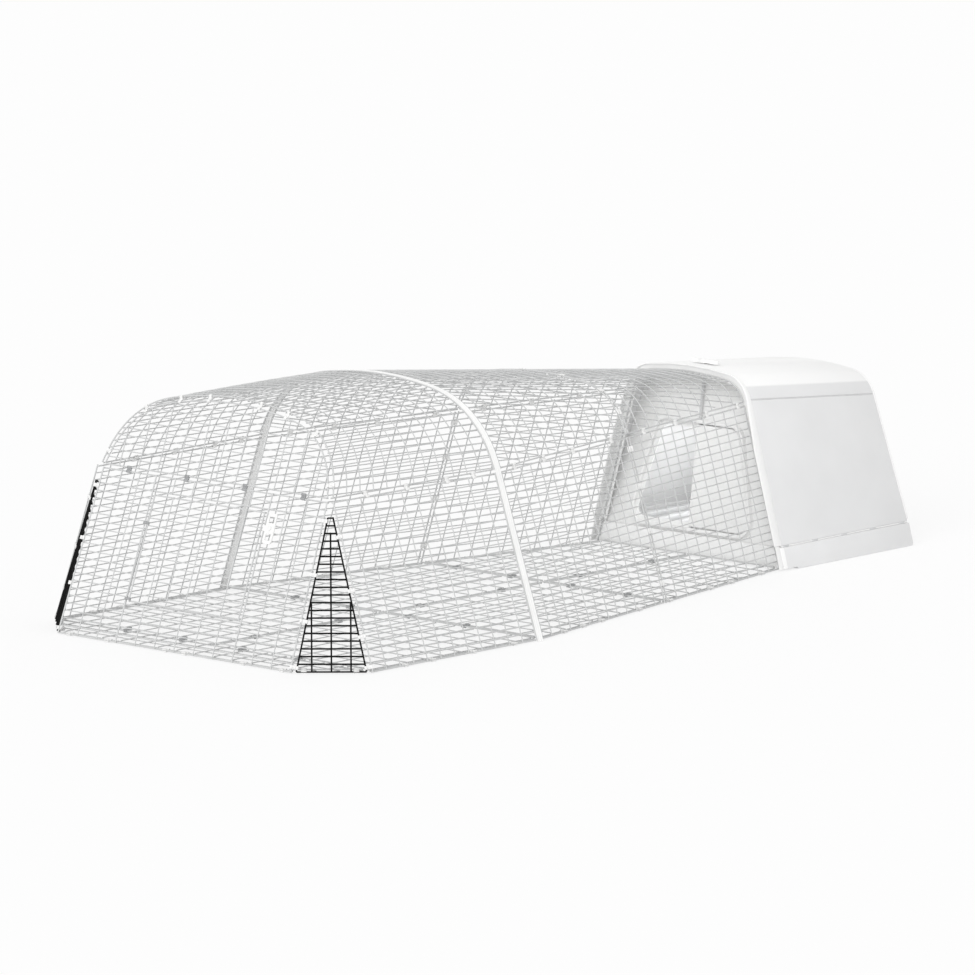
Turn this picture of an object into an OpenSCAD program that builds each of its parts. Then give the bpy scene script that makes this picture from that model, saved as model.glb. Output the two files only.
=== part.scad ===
// Chicken run with its hen house: a flared tunnel of welded mesh panels held by snap clips,
// closed at the wide end by a leaning front with a door and at the narrow end by the house.
// X runs across, Y from the front of the run to the back of the house, Z up.

/* [Mesh] */
// Pitch of the horizontal mesh wires
mesh_row = 25; // [22:0.5:28]
// Row gaps up a side panel
side_rows = 22; // [18:1:24]
// Diameter of a mesh wire
wire_d = 3.75; // [2.5:0.25:4]
// Diameter of a panel's border wire
border_d = 5; // [4:0.25:6]
// Air between the two layers of wires in a panel
weld_gap = 0.15; // [0.1:0.05:0.3]
// Distance between neighbouring border wires at a seam
seam = 14; // [12:0.5:16]

/* [Run plan] */
// Length of the flared bay next to the house
house_bay = 725; // [700:5:800]
// Length of the flared bay in the middle
middle_bay = 775; // [700:5:800]
// Length of the straight front bay
front_bay = 780; // [720:10:820]
// Depth of the cut corners at the front
corner_cut = 175; // [150:5:200]
// Half width of the run at the house, on the ground
house_end_w = 400; // [390:1:405]
// Half width of the run from the middle hoop on, on the ground
run_w = 700; // [660:5:730]
// Width of the front at its foot, as a share of the run's
front_share = 0.737; // [0.72:0.001:0.75]
// Mesh columns of the bay next to the house
house_bay_columns = 11; // [8:1:13]
// Mesh columns of the middle bay
middle_bay_columns = 13; // [9:1:14]
// Mesh columns of the front bay
front_bay_columns = 12; // [9:1:14]
// Pitch of the floor mesh
floor_pitch = 83; // [70:1:95]

/* [Run section] */
// Inward lean of the sides at the house, in degrees
house_end_lean = 16.6; // [15:0.1:18]
// Inward lean of the sides from the middle hoop on, in degrees
run_lean = 19.3; // [18:0.1:21]
// Height of the roof at the house
house_end_crown = 620; // [610:1:632]
// Height of the roof at the middle hoop
run_crown = 790; // [770:1:810]
// Radius of the roof's crown
crown_r = 1300; // [1200:10:1500]
// Backward lean of the front, in degrees
front_lean = 20.4; // [19:0.1:22]
// How much each side of the front draws in up to the arched panel
front_draw_in = 25; // [19:1:31]
// Height of the arched front panel up its slope
front_arch_h = 254; // [240:1:266]
// Inward lean at the foot of the arched front panel, in degrees
front_arch_lean = 8; // [6:0.5:10]

/* [Middle hoop] */
// Width of the flat hoop between the front and middle bays
hoop_w = 25; // [20:1:30]
// Thickness of the flat hoop
hoop_t = 3; // [2:0.5:4]

/* [Clips] */
// Length of a clip along the wires
clip_l = 18; // [14:0.5:19]
// Thickness of a clip
clip_t = 11; // [9:0.5:12]
// Clearance of a clip's bore round a straight wire
clip_clear = 0.1; // [0.05:0.05:0.2]
// Clearance of a clip's bore round a bent or slanting wire
loose_clear = 0.8; // [0.6:0.1:1.2]

/* [Run door] */
// Row of the front panel under the door
door_first_row = 5; // [3:1:7]
// Row of the front panel above the door
door_last_row = 20; // [18:1:21]
// Columns of the front panel on each side of the middle that the door takes
door_half_columns = 3; // [2:1:4]
// Height of the latch plate
latch_h = 100; // [90:1:110]
// Width of the latch plate
latch_w = 40; // [30:1:44]
// Running clearance of a bore round a wire or a pin, on the diameter
running_clear = 0.1; // [0.05:0.01:0.15]

/* [Corner triangles] */
// Diameter of the triangle wires
triangle_wire_d = 5.5; // [4.5:0.25:5.5]
// Row gaps up a triangle
triangle_rows = 20; // [16:1:22]
// Row gaps up to the top of the short upright wires
triangle_short_rows = 9; // [7:1:9]
// Distance of the short upright wires from the middle one
triangle_upright = 62; // [50:1:64]
// Width of a triangle at its top
triangle_top = 17; // [12:0.5:18]

/* [House] */
// Depth of the house, on the ground
house_l = 672; // [640:2:700]
// How far each side of the house stands outside the run, on the ground
house_over = 30; // [28:1:45]
// Inward lean of the house's sides, in degrees
house_lean = 16.1; // [15:0.1:17]
// Height at which the house's sides turn into the roof, at the front
house_shoulder = 554; // [545:1:565]
// Height of the house's roof at the front
house_crown = 645; // [642:1:655]
// Slope of the roof down to the back, in degrees
roof_slope = 4.9; // [4:0.1:6]
// Wall thickness of the mouldings
wall = 5; // [4:0.25:6]
// Height of the base
base_h = 75; // [70:1:80]
// Gap between the base and the shell
base_gap = 7; // [5:0.5:9]
// Width of the flange inside the rim round the front of the house
rim_w = 33; // [28:1:36]
// How far the rim stands forward of the base, over the end of the run
rim_reach = 26; // [20:1:32]
// Backward lean of the front wall, in degrees
front_wall_lean = 7.8; // [6.5:0.1:9]
// Forward lean of the back, in degrees
rear_lean = 5.3; // [4:0.1:6]

/* [Pop hole] */
// Half width of the pop hole's frame at its foot
pop_w = 272; // [255:1:280]
// Half width of the pop hole's frame at its top
pop_top_w = 178; // [165:1:185]
// Height of the foot of the pop hole's frame
pop_z = 96; // [92:1:110]
// Height of the pop hole's frame
pop_h = 350; // [320:5:370]
// Corner radius of the pop hole's frame
pop_r = 45; // [30:1:55]
// Thickness of the pop door
pop_door_t = 8; // [6:0.5:10]
// Diameter of the pop door's upright shaft
shaft_d = 10; // [8:0.5:12]
// Length of the handle on the roof
handle_l = 112; // [90:1:125]

/* [Tray and rear door] */
// Height of the droppings tray
tray_h = 44; // [36:1:48]
// Half width of the droppings tray
tray_w = 318; // [280:1:330]
// Thickness of the rear door
rear_t = 8; // [6:0.5:10]
// Diameter of a rear hinge pin
rear_pin_d = 6; // [5:0.25:7]
// Number of roosting bars
roost_bars = 8; // [5:1:9]

/* [Hidden] */
$fn = 32;

coated_wire = "silver";
black_wire = "black";
white_clip = "white";
grey_clip = "darkgray";
white_plastic = "whitesmoke";
grey_plastic = "lightgray";

// Lowest border wires lie in the middle of the clips that stand on the ground
base_z = clip_t / 2;
side_slant = side_rows * mesh_row;
waist_slant = side_slant + seam;
front_columns = 12;
front_w = run_w * front_share;
front_column = 2 * front_w / front_columns;
front_arch_w = front_w - front_draw_in;
house_w = house_end_w + house_over;
// Offset of a wire that crosses the rows of a panel, from the row borders' axis
cross_layer = border_d / 2 + weld_gap;
post_layer = cross_layer + border_d / 2;
// The front edge of the front bay's sides steps back this much at its top
corner_step = 12;
slack = 0.4;
pull_t = 9;

// Stations along the run, with the whole object centred on the origin
flared_l = house_bay + middle_bay;
run_l = flared_l + front_bay + corner_cut;
// How far the front wires and the tray's pull stand past the ends
front_reach = (post_layer + border_d / 2) * cos(front_lean) + border_d / 2 * sin(front_lean);
y_house = (run_l - house_l + front_reach - pull_t) / 2;
y_middle = y_house - house_bay;
y_hoop = y_middle - middle_bay;
y_corner = y_hoop - front_bay;
y_front = y_corner - corner_cut;
// The end borders stand this far off the house, a bay seam and the middle hoop
flare_slope = (run_w - house_end_w) / flared_l;
house_stand_off = border_d / 2 + flare_slope * post_layer + 0.6;
hoop_stand_off = hoop_w / 2 + border_d / 2 + 0.4;

function mix(a, b, u) = a + (b - a) * u;
function unit(v) = v / norm(v);

// Straight round wire from a to b
module wire(a, b, d) {
    v = b - a;
    translate(a)
        rotate([0, acos(v.z / norm(v)), atan2(v.y, v.x)])
            cylinder(d = d, h = norm(v));
}

// The same, run past both ends so that it covers the wires it is welded to
module long_wire(a, b, d) {
    past = unit(b - a) * border_d / 2;
    wire(a - past, b + past, d);
}

function edge_d(i, last) = i == 0 || i == last ? border_d : wire_d;

// Welded panel between four corners: rows on the inner side and uprights on the outer side
module mesh_panel(foot_a, foot_b, top_b, top_a, columns, rows) {
    out = unit(cross(foot_b - foot_a, top_a - foot_a));
    for (i = [0 : rows]) {
        d = edge_d(i, rows);
        shift = out * (border_d - d) / 2;
        long_wire(mix(foot_a, top_a, i / rows) + shift, mix(foot_b, top_b, i / rows) + shift, d);
    }
    for (j = [0 : columns]) {
        d = edge_d(j, columns);
        shift = out * (cross_layer + d / 2);
        long_wire(mix(foot_a, foot_b, j / columns) + shift, mix(top_a, top_b, j / columns) + shift, d);
    }
}

// Section of the flared bays, with u from 0 at the house to 1 at the middle hoop
function flare(y) = (y_house - y) / flared_l;
function section_lean(u) = mix(house_end_lean, run_lean, u);
function ground_w(u) = mix(house_end_w, run_w, u);
function side_point(u, y, slant) = [
    ground_w(u) - slant * sin(section_lean(u)),
    y,
    base_z + slant * cos(section_lean(u))
];

module flared_side(y_a, y_b, columns) {
    u_a = flare(y_a);
    u_b = flare(y_b);
    mesh_panel(side_point(u_a, y_a, 0), side_point(u_b, y_b, 0),
        side_point(u_b, y_b, side_slant), side_point(u_a, y_a, side_slant), columns, side_rows);
}

module house_bay_side() {
    flared_side(y_middle + seam / 2, y_house - house_stand_off, house_bay_columns);
}

module middle_bay_side() {
    flared_side(y_hoop + hoop_stand_off, y_middle - seam / 2, middle_bay_columns);
}

module front_bay_side() {
    y_b = y_hoop - hoop_stand_off;
    mesh_panel(side_point(1, y_corner, 0), side_point(1, y_b, 0),
        side_point(1, y_b, side_slant), side_point(1, y_corner + corner_step, side_slant),
        front_bay_columns, side_rows);
}

module side_panel_house_right() { color(coated_wire) house_bay_side(); }
module side_panel_house_left() { color(coated_wire) mirror([1, 0, 0]) house_bay_side(); }
module side_panel_middle_right() { color(coated_wire) middle_bay_side(); }
module side_panel_middle_left() { color(coated_wire) mirror([1, 0, 0]) middle_bay_side(); }
module side_panel_front_right() { color(coated_wire) front_bay_side(); }
module side_panel_front_left() { color(coated_wire) mirror([1, 0, 0]) front_bay_side(); }

// Three-centred arch over a waist: [half width, rise, lean, corner radius, crown angle, corner x, corner z]
function arch(w, h, lean) =
    let (
        r = (2 * crown_r * h - h * h - w * w)
            / (2 * (crown_r - w * cos(lean) - (crown_r - h) * sin(lean))),
        a = asin((w - r * cos(lean)) / (crown_r - r))
    )
    [w, h, lean, r, a, (crown_r - r) * sin(a), h - crown_r + (crown_r - r) * cos(a)];
function arc_len(r, degrees) = r * degrees * PI / 180;
function crown_len(a) = arc_len(crown_r, a[4]);
function arch_len(a) = crown_len(a) + arc_len(a[3], 90 - a[2] - a[4]);
// Angle from upright at a length s along the arch from its crown
function arch_angle(a, s) =
    s <= crown_len(a) ? s / crown_r * 180 / PI : a[4] + (s - crown_len(a)) / a[3] * 180 / PI;
function arch_half(a, s, out) =
    let (t = arch_angle(a, s))
    s <= crown_len(a)
        ? [(crown_r + out) * sin(t), a[1] - crown_r + (crown_r + out) * cos(t)]
        : [a[5] + (a[3] + out) * sin(t), a[6] + (a[3] + out) * cos(t)];
// Point of the arch at signed length s, moved outwards
function arch_point(a, s, out = 0) =
    let (p = arch_half(a, abs(s), out))
    [s < 0 ? -p.x : p.x, p.y];

// A vault section is [y of the waist, z of the waist, backward tilt, arch]
function flared_section(u) =
    let (waist = side_point(u, y_house - flared_l * u, waist_slant))
    [waist.y, waist.z, 0,
        arch(waist.x, mix(house_end_crown, run_crown, u) - waist.z, section_lean(u))];
front_slant = side_slant;
front_arch_foot = front_slant + seam;
front_arch = arch(front_arch_w, front_arch_h, front_arch_lean);
function front_point(x, slant, out = 0) = [
    x,
    y_front + slant * sin(front_lean) - out * cos(front_lean),
    base_z + slant * cos(front_lean) + out * sin(front_lean)
];
// The front bay's roof runs from the middle hoop to the leaning front, a seam outside the arched panel
function front_section(v) =
    let (
        hoop = flared_section(1),
        foot = front_point(0, front_arch_foot + seam * sin(front_arch_lean)),
        w = mix(hoop[3][0], front_arch_w + seam * cos(front_arch_lean), v),
        h = mix(hoop[3][1], front_arch_h + seam * (1 - sin(front_arch_lean)), v),
        lean = mix(run_lean, front_arch_lean, v)
    )
    [mix(y_hoop, foot.y, v), mix(hoop[1], foot.z, v), front_lean * v, arch(w, h, lean)];
function stand(section, p) = [
    p.x,
    section[0] + p.y * sin(section[2]),
    section[1] + p.y * cos(section[2])
];
function vault_point(section, s, out = 0) = stand(section, arch_point(section[3], s, out));

// Places flat shapes drawn in X and rise onto a vault section
module on_section(section) {
    translate([0, section[0], section[1]])
        rotate([90 - section[2], 0, 0])
            children();
}

// Six-sided tube through points, with two directions square to the path at each point
tube_sides = 6;
module swept_tube(points, across, up, d) {
    count = len(points);
    walls = [
        for (i = [0 : count - 2], k = [0 : tube_sides - 1])
            let (a = i * tube_sides + k, b = i * tube_sides + (k + 1) % tube_sides)
            each [[a, b + tube_sides, b], [a, a + tube_sides, b + tube_sides]]
    ];
    last = (count - 1) * tube_sides;
    caps = [
        for (k = [1 : tube_sides - 2])
            each [[0, k, k + 1], [last, last + k + 1, last + k]]
    ];
    polyhedron([
        for (i = [0 : count - 1], k = [0 : tube_sides - 1])
            points[i] + (across[i] * cos(k * 360 / tube_sides) + up[i] * sin(k * 360 / tube_sides)) * d / 2
    ], concat(walls, caps));
}

// An arch is bent in short straight steps that touch its true curve at their middles
crown_steps = 7;
corner_steps = 5;
function corner_angle(a) = 90 - a[2] - a[4];
function arch_turns(a) = concat(
    [for (i = [0 : corner_steps]) [a[4] + corner_angle(a) * (1 - i / corner_steps), 1]],
    [for (i = [1 : crown_steps - 1]) [a[4] * (1 - 2 * i / crown_steps), 0]],
    [for (i = [corner_steps : -1 : 0]) [-a[4] - corner_angle(a) * (1 - i / corner_steps), -1]]
);
function bent_point(a, turn, out) =
    turn[1] == 0
        ? let (r = (crown_r + out) / cos(a[4] / crown_steps))
            [r * sin(turn[0]), a[1] - crown_r + r * cos(turn[0])]
        : let (r = (a[3] + out) / cos(corner_angle(a) / corner_steps / 2))
            [turn[1] * a[5] + r * sin(turn[0]), a[6] + r * cos(turn[0])];
module bent_wire(a, d, out) {
    turns = arch_turns(a);
    swept_tube([for (t = turns) let (p = bent_point(a, t, out)) [p.x, p.y, 0]],
        [for (t = turns) [sin(t[0]), cos(t[0]), 0]], [for (t = turns) [0, 0, -1]], d);
}
// Length along the arch to the middle of one of its corner steps
function corner_mid(a, step) =
    crown_len(a) + arc_len(a[3], corner_angle(a)) * (step + 0.5) / corner_steps;

// Lengthwise rods at the row pitch round the arch, and the two borders along the waist.
// near is the end at the house, where the arch is shorter and the outer rods run out.
module vault_rods(sections, rod_steps) {
    near = sections[0];
    far = sections[station_steps];
    near_len = arch_len(near[3]);
    far_len = arch_len(far[3]);
    clear = border_d + wire_d;
    rods = floor((far_len - clear) / mesh_row);
    for (k = [-rods : rods]) {
        s = k * mesh_row;
        cut = max(0, (abs(s) + clear - near_len) / (far_len - near_len));
        start = far_len - near_len > mesh_row ? cut : 0;
        points = [
            for (i = [0 : rod_steps])
                let (section = sections[round(mix(start, 1, i / rod_steps) * station_steps)])
                vault_point(section, s, (border_d - wire_d) / 2)
        ];
        if (start < 0.9)
            swept_tube(points, [for (p = points) [1, 0, 0]], [for (p = points) [0, 0, 1]], wire_d);
    }
    for (side = [-1, 1])
        long_wire(vault_point(far, side * far_len), vault_point(near, side * near_len), border_d);
}

// Fine stations along a bay, from the house end to the front end
station_steps = 60;
function flared_stations(u_a, u_b) =
    [for (i = [0 : station_steps]) flared_section(mix(u_a, u_b, i / station_steps))];
function front_stations(v_a, v_b) =
    [for (i = [0 : station_steps]) front_section(mix(v_a, v_b, i / station_steps))];

house_bay_u = [flare(y_house - house_stand_off), flare(y_middle + seam / 2)];
middle_bay_u = [flare(y_middle - seam / 2), flare(y_hoop + hoop_stand_off)];
front_bay_v = [(hoop_stand_off + hoop_t) / front_bay, 1];

module flared_rods(u) {
    sections = flared_stations(u[0], u[1]);
    vault_rods(sections, 2);
}

// Bent wire over the roof, on the outside of the lengthwise rods
module roof_hoop(a, d) { bent_wire(a, d, cross_layer + weld_gap + d / 2); }

module flared_hoops(u, columns) {
    for (j = [0 : columns]) {
        section = flared_section(mix(u[0], u[1], j / columns));
        on_section(section) roof_hoop(section[3], edge_d(j, columns));
    }
}

module roof_rods_house() { color(coated_wire) flared_rods(house_bay_u); }
module roof_rods_middle() { color(coated_wire) flared_rods(middle_bay_u); }
module roof_rods_front() {
    sections = front_stations(front_bay_v[0], front_bay_v[1]);
    color(coated_wire) vault_rods(sections, 5);
}
module roof_hoops_house() { color(coated_wire) flared_hoops(house_bay_u, house_bay_columns); }
module roof_hoops_middle() { color(coated_wire) flared_hoops(middle_bay_u, middle_bay_columns); }
module roof_hoops_front() {
    color(coated_wire)
        for (j = [0 : front_bay_columns]) {
            section = front_section(mix(front_bay_v[0], front_bay_v[1], j / front_bay_columns));
            on_section(section) roof_hoop(section[3], edge_d(j, front_bay_columns));
        }
}

// Flat hoop that stands on the ground and follows the section between the front and middle bays
module middle_hoop() {
    section = flared_section(1);
    lift = post_layer - hoop_t / 2;
    lengths = arch_len(section[3]);
    hoop_steps = 24;
    function strip(out) = concat(
        [[run_w + base_z * tan(run_lean) + out / cos(run_lean), 0]],
        [for (i = [0 : hoop_steps])
            let (p = arch_point(section[3], lengths * (1 - i / hoop_steps), out))
            [p.x, p.y + section[1]]]
    );
    function both_sides(half) =
        concat(half, [for (i = [len(half) - 2 : -1 : 0]) [-half[i].x, half[i].y]]);
    outer = both_sides(strip(lift + hoop_t));
    inner = both_sides(strip(lift));
    color(white_plastic)
        translate([0, y_hoop + hoop_w / 2, 0])
            rotate([90, 0, 0])
                linear_extrude(hoop_w)
                    polygon(concat(outer, [for (i = [len(inner) - 1 : -1 : 0]) inner[i]]));
}

// Half of a bay's floor: lengthwise wires low, cross wires on top, trimmed along the side
floor_cross = border_d / 2 + weld_gap + wire_d / 2;
floor_line_z = base_z + (border_d - wire_d) / 2;
function floor_edge(y) = ground_w(min(1, flare(y))) - seam;
module half_floor(y_a, y_b) {
    inner = seam / 2;
    wide = max(floor_edge(y_a), floor_edge(y_b));
    narrow = min(floor_edge(y_a), floor_edge(y_b));
    wire([inner, y_a, base_z], [inner, y_b, base_z], border_d);
    wire([floor_edge(y_a), y_a, base_z], [floor_edge(y_b), y_b, base_z], border_d);
    lines = floor((wide - inner - border_d) / floor_pitch);
    for (i = [1 : lines]) {
        x = inner + i * floor_pitch;
        reach = x < narrow - border_d ? 1 : (wide - border_d - x) / (wide - narrow);
        if (reach > 0.05)
            wire([x, y_a, floor_line_z], [x, mix(y_a, y_b, reach), floor_line_z], wire_d);
    }
    bars = round((y_b - y_a) / floor_pitch);
    for (i = [0 : bars]) {
        y = mix(y_a + border_d / 2, y_b - border_d / 2, i / bars);
        rise = border_d / 2 + weld_gap + edge_d(i, bars) / 2;
        wire([inner - border_d / 2, y, base_z + rise], [floor_edge(y) + border_d / 2, y, base_z + rise],
            edge_d(i, bars));
    }
}
floor_end_gap = seam / 2;
module floor_house_half() { half_floor(y_middle + floor_end_gap, y_house - house_stand_off - border_d / 2); }
module floor_middle_half() { half_floor(y_hoop + floor_end_gap, y_middle - floor_end_gap); }
module floor_front_half() { half_floor(y_corner + floor_end_gap, y_hoop - floor_end_gap); }
module floor_house_right() { color(coated_wire) floor_house_half(); }
module floor_house_left() { color(coated_wire) mirror([1, 0, 0]) floor_house_half(); }
module floor_middle_right() { color(coated_wire) floor_middle_half(); }
module floor_middle_left() { color(coated_wire) mirror([1, 0, 0]) floor_middle_half(); }
module floor_front_right() { color(coated_wire) floor_front_half(); }
module floor_front_left() { color(coated_wire) mirror([1, 0, 0]) floor_front_half(); }

// Floor between the cut corners: cross wires low, short lengthwise wires on top
floor_end_front = y_front + seam;
floor_end_back = y_corner - floor_end_gap;
function floor_end_w(y) = mix(front_w, run_w, (y - y_front) / corner_cut) - 1.6 * seam;
module floor_end() {
    bars = 3;
    lines = floor(floor_end_w(floor_end_back) / floor_pitch - 0.2);
    color(coated_wire) {
        for (i = [0 : bars]) {
            y = mix(floor_end_front, floor_end_back, i / bars);
            z = base_z + (border_d - edge_d(i, bars)) / 2;
            wire([-floor_end_w(y), y, z], [floor_end_w(y), y, z], edge_d(i, bars));
        }
        for (i = [-lines : lines]) {
            x = i * floor_pitch;
            cut = (abs(x) - floor_end_w(floor_end_front)) / (run_w - front_w) * corner_cut;
            y = floor_end_front + (cut > 0 ? cut + seam : 0);
            wire([x, y - border_d / 2, base_z + floor_cross],
                [x, floor_end_back + border_d / 2, base_z + floor_cross], wire_d);
        }
        for (side = [-1, 1])
            wire([side * floor_end_w(floor_end_front), floor_end_front, base_z + post_layer],
                [side * floor_end_w(floor_end_back), floor_end_back, base_z + post_layer], border_d);
    }
}

// Leaning front panel with the doorway left open
door_frame_x = door_half_columns * front_column;
door_foot = door_first_row * mesh_row;
door_head = door_last_row * mesh_row;
// The panel's edge draws in a little up to its top
front_top_w = front_arch_w + border_d;
function front_edge(slant) = mix(front_w, front_top_w, slant / front_slant);
module front_panel() {
    color(coated_wire) {
        for (i = [0 : side_rows]) {
            slant = i * mesh_row;
            framed = i == door_first_row || i == door_last_row;
            d = framed ? border_d : edge_d(i, side_rows);
            out = (border_d - d) / 2;
            edge = front_edge(slant) + border_d / 2;
            if (i <= door_first_row || i >= door_last_row)
                wire(front_point(-edge, slant, out), front_point(edge, slant, out), d);
            else
                for (side = [-1, 1])
                    wire(front_point(side * (door_frame_x - border_d / 2), slant, out),
                        front_point(side * edge, slant, out), d);
        }
        for (j = [0 : front_columns]) {
            x = (j - front_columns / 2) * front_column;
            framed = abs(x) == door_frame_x;
            d = framed ? border_d : edge_d(j, front_columns);
            out = cross_layer + d / 2;
            top_x = x * front_edge(front_slant) / front_w;
            if (framed)
                long_wire(front_point(x, 0, out), front_point(x, front_slant, out), d);
            else if (abs(x) > door_frame_x)
                long_wire(front_point(x, 0, out), front_point(top_x, front_slant, out), d);
            else {
                long_wire(front_point(x, 0, out), front_point(x, door_foot, out), d);
                long_wire(front_point(x, door_head, out), front_point(x, front_slant, out), d);
            }
        }
    }
}

// Rise of the arch at a distance from the middle, and half width at a rise
function arch_rise(a, x) =
    abs(x) < crown_r * sin(a[4])
        ? a[1] - crown_r + sqrt(crown_r * crown_r - x * x)
        : a[6] + sqrt(a[3] * a[3] - pow(abs(x) - a[5], 2));
function arch_half_w(a, rise) =
    rise > a[6] + a[3] * cos(a[4])
        ? sqrt(crown_r * crown_r - pow(rise - a[1] + crown_r, 2))
        : a[5] + sqrt(a[3] * a[3] - pow(rise - a[6], 2));

module front_arch_panel() {
    // The arch springs from a foot wire, and the mesh stops just inside its bent border
    foot = front_point(0, front_arch_foot);
    rows = floor((front_arch_h - border_d) / mesh_row);
    uprights = floor((front_arch_w - border_d) / front_column);
    color(coated_wire) {
        wire(front_point(-front_arch_w, front_arch_foot), front_point(front_arch_w, front_arch_foot), border_d);
        for (i = [1 : rows]) {
            rise = i * mesh_row;
            half = arch_half_w(front_arch, rise);
            out = (border_d - wire_d) / 2;
            wire(front_point(-half, front_arch_foot + rise, out), front_point(half, front_arch_foot + rise, out),
                wire_d);
        }
        for (j = [-uprights : uprights]) {
            x = j * front_column;
            rise = arch_rise(front_arch, x) - border_d / 2 - wire_d;
            out = cross_layer + wire_d / 2;
            wire(front_point(x, front_arch_foot - border_d / 2, out), front_point(x, front_arch_foot + rise, out),
                wire_d);
        }
        on_section([foot.y - post_layer * cos(front_lean), foot.z + post_layer * sin(front_lean), front_lean])
            bent_wire(front_arch, border_d, 0);
    }
}

// Mesh door in the front panel, a seam inside its frame
door_x = door_frame_x - seam;
door_rows = door_last_row - door_first_row - 1;
door_low = door_foot + mesh_row / 2;
door_high = door_low + door_rows * mesh_row;
door_columns = 2 * door_half_columns;
module run_door() {
    color(coated_wire) {
        for (i = [0 : door_rows]) {
            d = edge_d(i, door_rows);
            out = (border_d - d) / 2;
            slant = door_low + i * mesh_row;
            wire(front_point(-door_x - border_d / 2, slant, out), front_point(door_x + border_d / 2, slant, out), d);
        }
        for (j = [0 : door_columns]) {
            d = edge_d(j, door_columns);
            out = cross_layer + d / 2;
            x = mix(-door_x, door_x, j / door_columns);
            long_wire(front_point(x, door_low, out), front_point(x, door_high, out), d);
        }
    }
}

// Places a shape drawn across X and outwards, extruded up the slope, on the front
module on_front(x, slant, out) {
    translate(front_point(x, slant, out))
        rotate([-front_lean, 0, 0])
            children();
}

// Clip outline round two wires a span apart, with a bore for each
module clip_outline(span, bore) {
    difference() {
        union() {
            square([span, clip_t], center = true);
            for (side = [-1, 1])
                translate([side * span / 2, 0])
                    circle(d = clip_t);
        }
        for (side = [-1, 1])
            translate([side * span / 2, 0])
                circle(d = bore);
    }
}

short_clip = clip_l * 2 / 3;
module clip(span, bore, length) {
    linear_extrude(length, center = true)
        clip_outline(span, bore);
}

// Clip round two wires that pass through a and b and run along the third direction
module clip_on(a, b, along, bore = border_d + clip_clear, length = clip_l) {
    z = unit(along);
    apart = b - a - z * ((b - a) * z);
    x = unit(apart);
    y = cross(z, x);
    m = (a + b) / 2;
    multmatrix([
        [x.x, y.x, z.x, m.x],
        [x.y, y.y, z.y, m.y],
        [x.z, y.z, z.z, m.z],
        [0, 0, 0, 1]
    ])
        clip(norm(apart), bore, length);
}

// The door turns on two knuckles round the left upright of its frame, between a door row and a frame row
knuckle_l = (mesh_row - wire_d - border_d) / 2 - 1;
knuckle_rise = (mesh_row + border_d - wire_d) / 4;
module run_door_hinges() {
    color(grey_clip)
        for (row = [0, door_rows - 4])
            on_front(-door_frame_x + seam / 2, door_low + row * mesh_row + knuckle_rise, post_layer)
                linear_extrude(knuckle_l, center = true)
                    clip_outline(seam, border_d + running_clear);
}

// Turn latch on a block that grips the right upright of the doorway, shown upright, clear of the door
latch_row = door_last_row - 2.5;
latch_arm = 32;
latch_t = 4;
latch_pin_d = 8;
latch_head_d = 15;
latch_head_t = 3;
latch_in = clip_t / 2 + slack;
module on_latch() { on_front(door_frame_x, latch_row * mesh_row, post_layer) children(); }
module run_door_latch_block() {
    color(white_clip)
        on_latch() {
            linear_extrude(clip_l, center = true)
                difference() {
                    union() {
                        circle(d = clip_t);
                        translate([0, -clip_t / 2])
                            square([latch_arm, clip_t]);
                        translate([latch_arm, 0])
                            circle(d = clip_t);
                    }
                    circle(d = border_d + clip_clear);
                }
            translate([latch_arm, 0, 0])
                rotate([90, 0, 0]) {
                    cylinder(d = latch_pin_d, h = latch_in + latch_t + slack + latch_head_t);
                    translate([0, 0, latch_in + latch_t + slack])
                        cylinder(d = latch_head_d, h = latch_head_t);
                }
        }
}
module run_door_latch() {
    window = [latch_w * 0.55, latch_h * 0.2];
    color(white_clip)
        on_latch()
            translate([latch_arm, -latch_in, 0])
                rotate([90, 0, 0])
                    linear_extrude(latch_t)
                        difference() {
                            polygon(rounded([for (c = [[-1, -1], [1, -1], [1, 1], [-1, 1]])
                                [c.x * latch_w / 2, c.y * latch_h / 2, latch_w / 4]]));
                            circle(d = latch_pin_d + running_clear);
                            for (side = [-1, 1])
                                translate([0, side * latch_h * 0.28])
                                    square(window, center = true);
                        }
}

// Black triangle in the gap between the leaning front and the leaning side
triangle_in = 16;
triangle_foot_a = [front_w, y_front, base_z];
triangle_foot_b = [run_w, y_corner, base_z];
triangle_along = unit(triangle_foot_b - triangle_foot_a);
triangle_low_a = triangle_foot_a + triangle_along * triangle_in;
triangle_low_b = triangle_foot_b - triangle_along * triangle_in;
triangle_slant = triangle_rows * mesh_row;
triangle_peak = (front_point(front_edge(triangle_slant), triangle_slant)
    + side_point(1, y_corner + corner_step, triangle_slant)) / 2;
triangle_high_a = triangle_peak - triangle_along * triangle_top / 2;
triangle_high_b = triangle_peak + triangle_along * triangle_top / 2;
triangle_middle = (triangle_low_a + triangle_low_b) / 2;
triangle_out = cross(triangle_along, unit(triangle_peak - triangle_middle));
triangle_layer = triangle_wire_d + weld_gap;
module corner_triangle() {
    out = triangle_out * triangle_layer;
    rise = triangle_peak - triangle_middle;
    for (i = [0 : triangle_rows]) {
        u = i / triangle_rows;
        wire(mix(triangle_low_a, triangle_high_a, u), mix(triangle_low_b, triangle_high_b, u), triangle_wire_d);
    }
    wire(triangle_low_a + out, triangle_high_a + out, triangle_wire_d);
    wire(triangle_low_b + out, triangle_high_b + out, triangle_wire_d);
    wire(triangle_middle + out, triangle_middle + rise * (1 - 2 / triangle_rows) + out, triangle_wire_d);
    for (side = [-1, 1]) {
        foot = triangle_middle + triangle_along * side * triangle_upright + out;
        wire(foot, foot + rise * triangle_short_rows / triangle_rows, triangle_wire_d);
    }
}
module corner_triangle_right() { color(black_wire) corner_triangle(); }
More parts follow.
